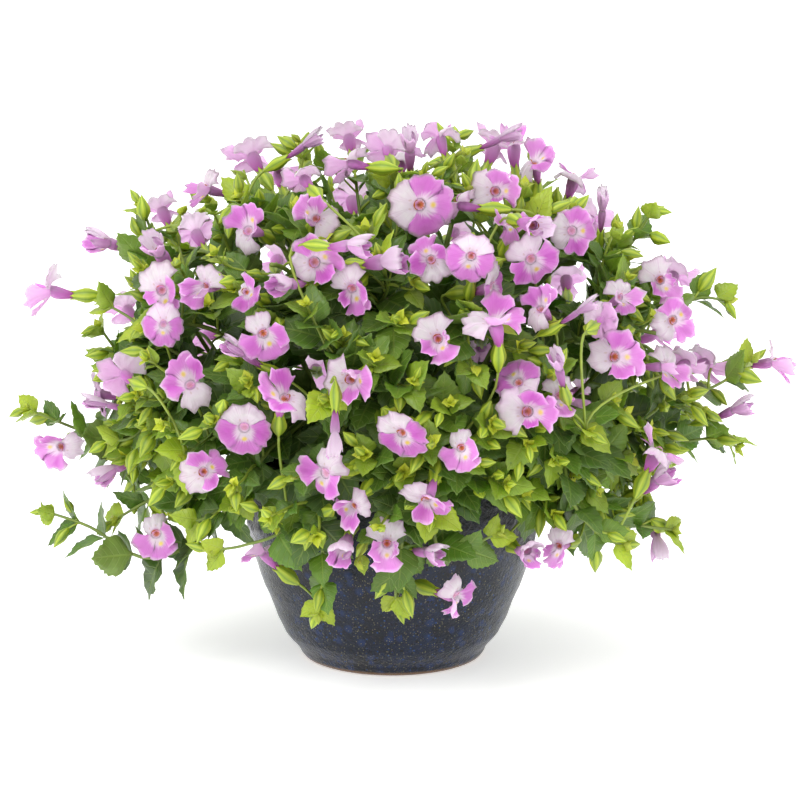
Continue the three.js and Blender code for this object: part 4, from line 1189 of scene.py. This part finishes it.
def stalk_of(bloom):
    """The stem that carries a bloom in the CAD model, and the point where its stalk leaves it."""
    base = bloom["middle"] - bloom["facing"] * (LIMB_DEPTH + CALYX_LENGTH)
    belly = bloom["middle"] - bloom["facing"] * (LIMB_DEPTH + 0.55 * CALYX_LENGTH)
    stem = min(stems, key=lambda one: np.linalg.norm(cad_points[one["number"]] - belly, axis=1).min())
    solid = cad_points[stem["number"]]
    routes = []
    for branch in stem["branches"]:
        for point in samples_along(branch["points"][1:], STALK_POINT_SPACING):
            run = point - base
            length = np.linalg.norm(run)
            if length >= SHORTEST_STALK:
                routes.append((length + 0.5 * run.dot(bloom["facing"]) + 0.35 * run[2], point))
    routes.sort(key=lambda route: route[0])
    for _, point in routes:
        path = stalk_path(point, base, bloom["facing"], 2)
        near = [np.linalg.norm(solid - spot, axis=1).min() for spot in path[:-1]]
        long_stalk = np.linalg.norm(point - base) > LONG_STALK
        on_solid = near[0] < FOOT_ON_SOLID and (not long_stalk or near[1] < STALK_ON_SOLID)
        if on_solid and clear_of_pot(path[1:], FOLIAGE_ROOM):
            return stem, point, base
    return stem, routes[0][1], base


def stalk_path(point, base, facing, steps):
    """A bloom's stalk: it leaves the stem upwards and meets the calyx from behind."""
    distance = np.linalg.norm(point - base)
    return arch(point, point + 0.25 * distance * UPWARDS, base - 0.35 * distance * facing, base, steps)


DICE_SEED = 20
dice = random.Random(DICE_SEED)
for number, bloom in enumerate(blooms):
    stem, point, base = stalk_of(bloom)
    facing, lip, middle, radius = bloom["facing"], bloom["lip"], bloom["middle"], bloom["radius"]
    path = stalk_path(point, base, facing, STALK_STEPS)
    add_shoot(stem["foliage"], path, (STALK_RADIUS, STALK_RADIUS), STEM_CORNERS, STALK_AGE)
    plump = 1.0 if radius > PLUMP_FROM else SLENDER
    side = np.cross(lip, facing)
    calyx_place = setting(side, lip, facing, base, (plump, plump, 1))
    plant(stem["foliage"], calyx_pattern, calyx_place, age=dice.uniform(0.1, 0.5), tone=dice.random())
    is_open = radius > SMALLEST_OPEN_RADIUS
    pattern = dice.choice(open_corollas) if is_open else folded_corolla
    across = radius / (PATTERN_RADIUS if is_open else FOLDED_RADIUS)
    corolla_place = setting(side, lip, facing, middle, (across, across, 1))
    tone = dice.random() if is_open else dice.uniform(0, 0.3)
    if number < OWN_NODE_BLOOMS:
        corolla = bmesh.new()
        plant(corolla, pattern, corolla_place, tone=tone)
        piece = place_piece(corolla, f"corolla_{number + 1:02d}")
        piece.data.materials.append(petal)
        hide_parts(f"bloom_{number + 1:02d}")
    else:
        plant(stem["petals"], pattern, corolla_place, tone=tone)
        stem["blooms"] += 1

# Leaves
# Opposite toothed leaves, each pair square to the last: lime and small at the shoot tips, dark and up
# to 48 mm long further in. They grow on every branch, on short twigs between them, and with the buds.

# Share of a leaf's length from its foot, and half its width there as a share of its length.
LEAF_SHARES = [0, 0.09, 0.12, 0.17, 0.26, 0.38, 0.52, 0.66, 0.8, 0.92, 1]
LEAF_HALF_WIDTHS = [0.018, 0.02, 0.17, 0.3, 0.365, 0.375, 0.335, 0.265, 0.17, 0.075, 0.004]
LEAF_THICKNESS = 0.011
TIP_LEAF_BELOW = 11
YOUNG_LEAF_BELOW = 17
MIDDLE_LEAF_BELOW = 27
DEEP_INSIDE_AGE = 0.97
BUD_STALK_RADII = (0.75, 0.7)
BUD_STALK_AGE = 0.2
BUDS_WITHIN = 45
SHORT_BUD_STALK = 2
BARE_ABOVE_SOIL = 14
CAD_BARE_ABOVE_SOIL = 25
BOX_OVERHANG = 2
CLEAR_BEHIND_FACE = 3
CLEAR_BEFORE_FACE = 24
TUBE_ROOM = 3
TIP_BUD_CHANCE = 0.75


def leaf_pattern(name, across, along, tooth_depth, wave):
    """A leaf one unit long along +Y, facing +Z, with a tooth at every other row of its margin."""
    bm = foliage_mesh()
    blade_layer = bm.loops.layers.uv["blade"]
    rib_layer = bm.verts.layers.float["rib"]
    bmesh.ops.create_grid(bm, x_segments=across, y_segments=along, size=1)
    flat = {}
    for vertex in bm.verts:
        beside = vertex.co.x
        share = (vertex.co.y + 1) / 2
        row = round(share * along)
        half_width = float(np.interp(share, LEAF_SHARES, LEAF_HALF_WIDTHS))
        margin = abs(beside) > 0.99 and 0.16 < share < 0.97
        sinus = margin and row % 2 == 0
        side = beside * (half_width - (tooth_depth if sinus else 0.0))
        height = 0.09 * abs(side) + 0.34 * side * side - 0.16 * share * share
        height += 0.025 * math.sin(5 * math.pi * share + wave) * beside * beside * min(1, 4 * half_width)
        vertex.co = (side, share + (0.012 if margin and not sinus else 0.0), height)
        flat[vertex] = (0.5 + 0.5 * beside, share)
    for face in bm.faces:
        for loop in face.loops:
            loop[blade_layer].uv = flat[loop.vert]
    turn_faces_up(bm)
    bmesh.ops.solidify(bm, geom=bm.faces, thickness=LEAF_THICKNESS)
    bm.normal_update()
    for vertex in bm.verts:
        vertex[rib_layer] = 1.0 if vertex.normal.z < 0 else 0.0
    return finished_mesh(bm, name)


# Four sizes of leaf; those of one size differ in the waves of their margin.
grown_leaves = [leaf_pattern(f"grown_leaf_{number}", 4, 15, 0.032, 2.1 * number) for number in range(4)]
middle_leaves = [leaf_pattern(f"middle_leaf_{number}", 2, 11, 0.034, 2.1 * number) for number in range(3)]
young_leaves = [leaf_pattern(f"young_leaf_{number}", 2, 7, 0.036, 2.1 * number) for number in range(2)]
tip_leaves = [leaf_pattern(f"tip_leaf_{number}", 2, 5, 0.03, 2.1 * number) for number in range(2)]

bloom_middles = np.array([bloom["middle"] for bloom in blooms])
bloom_facings = np.array([bloom["facing"] for bloom in blooms])
bloom_radii = np.array([bloom["radius"] for bloom in blooms])
bloom_distances = np.linalg.norm(bloom_middles - VIEW_POINT, axis=1)
bloom_sights = (bloom_middles - VIEW_POINT) / bloom_distances[:, None]
box_low = np.array(cad_box[0]) / MM - BOX_OVERHANG
box_high = np.array(cad_box[1]) / MM + BOX_OVERHANG


def has_room(points, beside_bloom=1.0):
    """Whether foliage at these points stays off the pot, in the part's box, and off every bloom's face."""
    for point in points:
        if (point < box_low).any() or (point > box_high).any():
            return False
        away = point - bloom_middles
        ahead = (away * bloom_facings).sum(axis=1)
        beside = np.linalg.norm(away - ahead[:, None] * bloom_facings, axis=1)
        before = (ahead > -CLEAR_BEHIND_FACE) & (ahead < CLEAR_BEFORE_FACE)
        before &= beside < 0.95 * beside_bloom * bloom_radii
        funnel = TUBE_ROOM + (bloom_radii - TUBE_ROOM) * (1 + ahead / LIMB_DEPTH)
        within = (ahead <= -CLEAR_BEHIND_FACE) & (ahead > -LIMB_DEPTH) & (beside < funnel)
        if (before | within).any():
            return False
        sight = point - VIEW_POINT
        along = (sight * bloom_sights).sum(axis=1)
        off_sight = np.linalg.norm(sight - along[:, None] * bloom_sights, axis=1)
        if ((along < bloom_distances - 1) & (off_sight < 0.7 * beside_bloom * bloom_radii)).any():
            return False
    return clear_of_pot(points, FOLIAGE_ROOM)


def add_leaf(stem, base, heading, face, length, age):
    """A leaf at the first of a few turns where it has room."""
    for turn, size in ((0, 1), (0.5, 1), (-0.5, 1), (0, 0.7), (0.9, 0.75), (-0.9, 0.75)):
        direction = unit(turned(heading, face, turn))
        up = square_to(face, direction)
        across = np.cross(direction, up)
        long = length * size
        spots = [base + direction * long * share + across * long * side - up * long * 0.16 * share ** 2
                 for share, side in ((0.55, 0), (1, 0), (0.4, 0.3), (0.4, -0.3), (0.7, 0.2), (0.7, -0.2))]
        if has_room(spots):
            if long < TIP_LEAF_BELOW:
                patterns = tip_leaves
            elif long < YOUNG_LEAF_BELOW:
                patterns = young_leaves
            elif long < MIDDLE_LEAF_BELOW or age > DEEP_INSIDE_AGE:
                patterns = middle_leaves
            else:
                patterns = grown_leaves
            wide = long * dice.uniform(0.88, 1.1)
            place = setting(across, direction, up, base, (wide, long, long * dice.uniform(0.4, 1.5)))
            plant(stem["foliage"], dice.choice(patterns), place, age=age, tone=dice.random())
            return


def add_bud(stem, base, direction, length, stalk):
    """A bud on its stalk."""
    end = base + direction * stalk
    droop = unit(direction + np.array([0, 0, dice.uniform(-0.9, 0.35)]))
    if not has_room([end, end + droop * length * 0.5, end + droop * length]):
        return
    if stalk > SHORT_BUD_STALK:
        route = [base, base + direction * stalk * 0.55, end + droop * 0.6]
        add_shoot(stem["foliage"], route, BUD_STALK_RADII, TWIG_CORNERS, BUD_STALK_AGE)
    side = square_to(np.array([dice.uniform(-1, 1), dice.uniform(-1, 1), 0.2]), droop)
    size = length / BUD_LENGTH
    place = setting(side, np.cross(droop, side), droop, end, (size * dice.uniform(0.85, 1.1),) * 2 + (size,))
    plant(stem["foliage"], bud_pattern, place, age=dice.uniform(0, 0.45), tone=dice.random())


def point_from_tip(points, distance):
    """The point at a distance from the tip of a route, and the way to the tip there."""
    left = distance
    for following, here in zip(points[::-1], points[-2::-1]):
        step = np.linalg.norm(following - here)
        if left <= step:
            return following + (here - following) * left / step, unit(following - here)
        left -= step
    return None


def in_mouth(point):
    """Whether a point lies within the pot's rim as seen from above."""
    return math.hypot(point[0], point[1]) < RIM_RADIUS


def leaf_pair(stem, place, turn, length, spread, age):
    """Two leaves on opposite sides of a stem."""
    point, forwards = place
    outwards = canopy_normal(point)
    side = square_to(stem["sideways"], forwards)
    for half in (0, math.pi):
        heading = unit(turned(side, forwards, turn + half) * spread + forwards + 0.35 * outwards)
        face = square_to(outwards + 0.7 * UPWARDS, heading)
        add_leaf(stem, point, heading, face, length * dice.uniform(0.85, 1.15), age)


# Leaf length, and age from lime to deep green, by distance from the shoot's tip.
LENGTH_FROM_TIP = ([0, 6, 14, 24, 36, 50, 70, 100], [9, 20, 24, 29, 35, 40, 42, 40])
AGE_FROM_TIP = ([0, 6, 14, 24, 40, 60, 100], [0.18, 0.46, 0.68, 0.82, 0.9, 0.95, 1])


def dress(stem, path, nodes, bud_chance, vigour=1.0):
    """Leaves and buds along a branch or twig, from its tip inwards."""
    turn = dice.uniform(0, math.pi)
    for from_tip in nodes:
        place = point_from_tip(path, from_tip)
        if not place or (place[0][2] < SOIL_TOP + BARE_ABOVE_SOIL and in_mouth(place[0])):
            break
        length = vigour * float(np.interp(from_tip, *LENGTH_FROM_TIP))
        age = float(np.interp(from_tip, *AGE_FROM_TIP)) + dice.uniform(-0.08, 0.08)
        spread = 0.9 + min(0.5, from_tip / 80)
        leaf_pair(stem, place, turn, length, spread, age)
        if from_tip < BUDS_WITHIN:
            for half in (0, math.pi):
                if dice.random() < bud_chance:
                    sideways = turned(square_to(stem["sideways"], place[1]), place[1], turn + half + 0.5)
                    direction = unit(sideways + 0.9 * place[1] + 0.3 * canopy_normal(place[0]))
                    add_bud(stem, place[0], direction, dice.uniform(13, 20), dice.uniform(6, 14))
        turn += math.pi / 2
    tip, forwards = path[-1], unit(path[-1] - path[-2])
    for corner in range(4):
        side = turned(square_to(stem["sideways"], forwards), forwards, turn + corner * math.pi / 2)
        heading = unit(forwards + (0.5 + 0.5 * (corner % 2)) * side)
        inner_face = square_to(side * -1 + forwards, heading)
        add_leaf(stem, tip, heading, inner_face, dice.uniform(6, 10), dice.uniform(0, 0.25))
    if dice.random() < TIP_BUD_CHANCE:
        bend = np.array([dice.uniform(-0.4, 0.4), dice.uniform(-0.4, 0.4), dice.uniform(-0.3, 0.5)])
        add_bud(stem, tip, unit(forwards + bend), dice.uniform(10, 16), dice.uniform(1, 5))


# Leaf pairs of the CAD solids, at the same places: distance from the tip, length, spread and age.
LEAF_PAIRS = [(6, 27, 1.0, 0.35), (42, 40, 1.3, 0.8)]
CAD_LEAF_SEED = 90210
leaf_random = random_from(CAD_LEAF_SEED)
for stem in stems:
    for branch in stem["branches"]:
        turn = next(leaf_random) * math.pi
        for from_tip, length, spread, age in LEAF_PAIRS:
            place = point_from_tip(branch["points"], from_tip)
            if not place or (place[0][2] < SOIL_TOP + CAD_BARE_ABOVE_SOIL and in_mouth(place[0])):
                continue
            point, forwards = place
            outwards = canopy_normal(point)
            side = square_to(stem["sideways"], forwards)
            for half in (0, math.pi):
                heading = unit(turned(side, forwards, turn + half) * spread + forwards + 0.35 * outwards)
                face = square_to(outwards + 0.7 * UPWARDS, heading)
                long = length * (0.85 + 0.3 * next(leaf_random)) * branch["vigour"]
                add_leaf(stem, point, heading, face, long, age)
            turn += math.pi / 2
        for _ in range(3):
            next(leaf_random)

# Twigs fill the mound's face between the branches. On a bare one the leaves are smaller and further apart.
TWIG_TIPS = 330
TWIG_SPACING = 25
TWIG_LENGTHS = (18, 95)
TWIG_CHOICES = 6
WRONG_LENGTH_COST = 500
LOW_TWIG_START = 12
LOW_TWIG_COST = 60
LOWEST_TWIG_ANGLE = 2.12
TWIG_LIFT = 4.0
TWIG_RADII = (1.15, 0.8)
TWIG_AGE = 0.4
BRANCH_AGE = 0.7
branch_samples = [
    (stem, point)
    for stem in stems for branch in stem["branches"]
    for point in samples_along(branch["points"][1:], STALK_POINT_SPACING)
]
sample_points = np.array([point for _, point in branch_samples])
all_tips = [branch["points"][-1] for stem in stems for branch in stem["branches"]]
twigs = []
for number in range(TWIG_TIPS):
    share = (number + 0.5) / TWIG_TIPS
    polar = math.acos(1 - share * (1 - math.cos(LOWEST_TWIG_ANGLE)))
    bare = number % 7 < (4 if polar < 0.9 else 2)
    if bare:
        reach = dice.uniform(0.98, 1.06) - 0.05 * (polar < 1.1)
    else:
        reach = 0.8 + 0.1 * min(1, polar) + dice.uniform(-0.06, 0.06)
    tip = canopy_point(number * GOLDEN_ANGLE + 0.4, polar, reach) + TWIG_LIFT * UPWARDS
    if min(np.linalg.norm(other - tip) for other in all_tips) < TWIG_SPACING:
        continue
    outwards = canopy_normal(tip)
    behind = tip - sample_points
    lengths = np.linalg.norm(behind, axis=1)
    wrong_length = (lengths < TWIG_LENGTHS[0]) | (lengths > TWIG_LENGTHS[1])
    costs = lengths - 0.6 * behind @ outwards + np.where(wrong_length, WRONG_LENGTH_COST, 0)
    costs += np.where(sample_points[:, 2] < SOIL_TOP + LOW_TWIG_START, LOW_TWIG_COST, 0)
    for choice in np.argsort(costs)[:TWIG_CHOICES]:
        stem, point = branch_samples[choice]
        length = lengths[choice]
        pull = unit(0.7 * outwards + 0.3 * UPWARDS)
        start = unit(unit(behind[choice]) + 0.5 * UPWARDS)
        path = arch(point, point + 0.35 * length * start, tip - 0.35 * length * pull, tip, 8)
        if has_room(path[1:], 0.8):
            twigs.append((stem, path, bare))
            all_tips.append(tip)
            break

# Leaf joints by their distance from the tip, the chance of a bud at each, and the leaves' vigour.
SHOOT_DRESS = ([22, 64, 84, 104, 124, 144], 0.7, 0.88)
BRANCH_DRESS = ([20, 31, 57, 72, 88, 105, 122, 140, 160, 180, 205], 0.4)
BARE_TWIG_DRESS = ([7, 24, 46], 0.6, 0.62)
TWIG_DRESS = ([8, 18, 30, 44, 62], 0.36)
for stem in stems:
    for branch in stem["branches"]:
        add_shoot(stem["foliage"], branch["path"], branch["radii"], STEM_CORNERS, BRANCH_AGE)
        dress(stem, branch["path"], *(SHOOT_DRESS if branch["vigour"] < 1 else BRANCH_DRESS))
for stem, path, bare in twigs:
    add_shoot(stem["foliage"], path, TWIG_RADII, TWIG_CORNERS, TWIG_AGE)
    dress(stem, path, *(BARE_TWIG_DRESS if bare else TWIG_DRESS))

# Leaf: thin, matt above and paler below, with a pressed-in net of veins; lime when young, deep green
# when old. Side veins are about 6 mm apart on a grown leaf.
leaf = empty_material("toothed_green_leaf")
leaf_place = add_node(leaf, "ShaderNodeTexCoord").outputs["Object"]
age_value = add_node(leaf, "ShaderNodeAttribute", {"attribute_name": "age"}).outputs["Fac"]
under_value = add_node(leaf, "ShaderNodeAttribute", {"attribute_name": "rib"}).outputs["Fac"]
leaf_tone = add_node(leaf, "ShaderNodeAttribute", {"attribute_name": "tone"}).outputs["Fac"]
mottle = add_node(leaf, "ShaderNodeTexNoise", {"Scale": 90.0, "Detail": 3.0}, {"Vector": leaf_place})
mottled = add_node(
    leaf, "ShaderNodeMath", {"operation": "MULTIPLY_ADD", 1: 0.24, 2: -0.12}, {0: mottle.outputs["Fac"]},
)
aged = add_node(leaf, "ShaderNodeMath", {"operation": "ADD"}, {0: age_value, 1: mottled.outputs[0]})
leaf_colour = add_node(
    leaf, "ShaderNodeValToRGB", links={"Fac": aged.outputs[0]},
    stops=[(0.0, "#bdc82e"), (0.25, "#a2b428"), (0.5, "#7b9526"), (0.75, "#577626"), (1.0, "#425c23")],
).outputs["Color"]
blade_map = add_node(leaf, "ShaderNodeUVMap", {"uv_map": "blade"}).outputs["UV"]
blade_parts = add_node(leaf, "ShaderNodeSeparateXYZ", links={"Vector": blade_map})
from_middle = add_node(
    leaf, "ShaderNodeMath", {"operation": "SUBTRACT", 1: 0.5}, {0: blade_parts.outputs["X"]},
)
beside_rib = add_node(leaf, "ShaderNodeMath", {"operation": "ABSOLUTE"}, {0: from_middle.outputs[0]})
slanted = add_node(
    leaf, "ShaderNodeMath", {"operation": "MULTIPLY_ADD", 1: -0.42},
    {0: beside_rib.outputs[0], 2: blade_parts.outputs["Y"]},
)
vein_count = add_node(leaf, "ShaderNodeMath", {"operation": "MULTIPLY", 1: 7.0}, {0: slanted.outputs[0]})
vein_wave = add_node(leaf, "ShaderNodeMath", {"operation": "PINGPONG", 1: 0.5}, {0: vein_count.outputs[0]})
side_vein = add_node(leaf, "ShaderNodeMapRange", {1: 0.09, 2: 0.0}, {0: vein_wave.outputs[0]})
middle_vein = add_node(leaf, "ShaderNodeMapRange", {1: 0.045, 2: 0.01}, {0: beside_rib.outputs[0]})
vein = add_node(
    leaf, "ShaderNodeMath", {"operation": "MAXIMUM"}, {0: side_vein.outputs[0], 1: middle_vein.outputs[0]},
)
vein_share = add_node(leaf, "ShaderNodeMath", {"operation": "MULTIPLY", 1: 0.3}, {0: vein.outputs[0]})
veined = add_node(
    leaf, "ShaderNodeMix", {"data_type": "RGBA", 7: linear("#98aa50")},
    {0: vein_share.outputs[0], 6: leaf_colour},
)
under_share = add_node(leaf, "ShaderNodeMath", {"operation": "MULTIPLY", 1: 0.45}, {0: under_value})
undersided = add_node(
    leaf, "ShaderNodeMix", {"data_type": "RGBA", 7: linear("#93a656")},
    {0: under_share.outputs[0], 6: veined.outputs[2]},
)
leaf_value = add_node(leaf, "ShaderNodeMapRange", {3: 0.82, 4: 1.18}, {0: leaf_tone})
leaf_hue = add_node(
    leaf, "ShaderNodeHueSaturation", links={"Value": leaf_value.outputs[0], "Color": undersided.outputs[2]},
)
leaf_relief = add_node(
    leaf, "ShaderNodeMath", {"operation": "MULTIPLY_ADD", 1: -0.7},
    {0: vein.outputs[0], 2: mottle.outputs["Fac"]},
)
leaf_bump = add_node(
    leaf, "ShaderNodeBump", {"Distance": 0.8 * MM, "Strength": 0.5}, {"Height": leaf_relief.outputs[0]},
)
finish_material(leaf, {
    "Roughness": 0.42, "Specular IOR Level": 0.42, "Subsurface Weight": 0.25,
    "Subsurface Radius": (0.6, 1.0, 0.2), "Subsurface Scale": 2 * MM,
}, {
    "Base Color": leaf_hue.outputs["Color"], "Normal": leaf_bump.outputs["Normal"],
})

# Green bark: smooth, light olive where it is young and darker at the foot.
bark = empty_material("smooth_green_stem")
bark_place = add_node(bark, "ShaderNodeTexCoord").outputs["Object"]
bark_age = add_node(bark, "ShaderNodeAttribute", {"attribute_name": "age"}).outputs["Fac"]
bark_noise = add_node(bark, "ShaderNodeTexNoise", {"Scale": 120.0, "Detail": 3.0}, {"Vector": bark_place})
bark_mixed = add_node(
    bark, "ShaderNodeMath", {"operation": "MULTIPLY_ADD", 1: 0.5},
    {0: bark_noise.outputs["Fac"], 2: bark_age},
)
bark_colour = add_node(
    bark, "ShaderNodeValToRGB", links={"Fac": bark_mixed.outputs[0]},
    stops=[(0.2, "#a6b640"), (0.6, "#8fa238"), (1.0, "#6c8034")],
).outputs["Color"]
finish_material(bark, {"Roughness": 0.45}, {"Base Color": bark_colour})

# Calyx: leathery and ribbed, lime on its wings and olive between them.
rind = empty_material("ribbed_lime_calyx")
rind_place = add_node(rind, "ShaderNodeTexCoord").outputs["Object"]
rind_rib = add_node(rind, "ShaderNodeAttribute", {"attribute_name": "rib"}).outputs["Fac"]
rind_tone = add_node(rind, "ShaderNodeAttribute", {"attribute_name": "tone"}).outputs["Fac"]
rind_colour = add_node(
    rind, "ShaderNodeValToRGB", links={"Fac": rind_rib},
    stops=[(0.0, "#6a8520"), (0.35, "#8ba428"), (0.7, "#9fb32a"), (1.0, "#b1c03e")],
).outputs["Color"]
rind_value = add_node(rind, "ShaderNodeMapRange", {3: 0.85, 4: 1.12}, {0: rind_tone})
rind_hue = add_node(
    rind, "ShaderNodeHueSaturation", links={"Value": rind_value.outputs[0], "Color": rind_colour},
)
rind_noise = add_node(rind, "ShaderNodeTexNoise", {"Scale": 500.0}, {"Vector": rind_place})
rind_bump = add_node(
    rind, "ShaderNodeBump", {"Distance": 0.4 * MM, "Strength": 0.3}, {"Height": rind_noise.outputs["Fac"]},
)
finish_material(rind, {"Roughness": 0.45}, {
    "Base Color": rind_hue.outputs["Color"], "Normal": rind_bump.outputs["Normal"],
})

for stem in stems:
    label = f"{stem['number'] + 1:02d}"
    spray = place_piece(stem["foliage"], f"spray_{label}")
    for material in (leaf, bark, rind):
        spray.data.materials.append(material)
    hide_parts(f"leafy_stem_{label}")
    if stem["blooms"]:
        flowers = place_piece(stem["petals"], f"spray_{label}_corollas")
        flowers.data.materials.append(petal)
        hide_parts(f"leafy_stem_{label}")
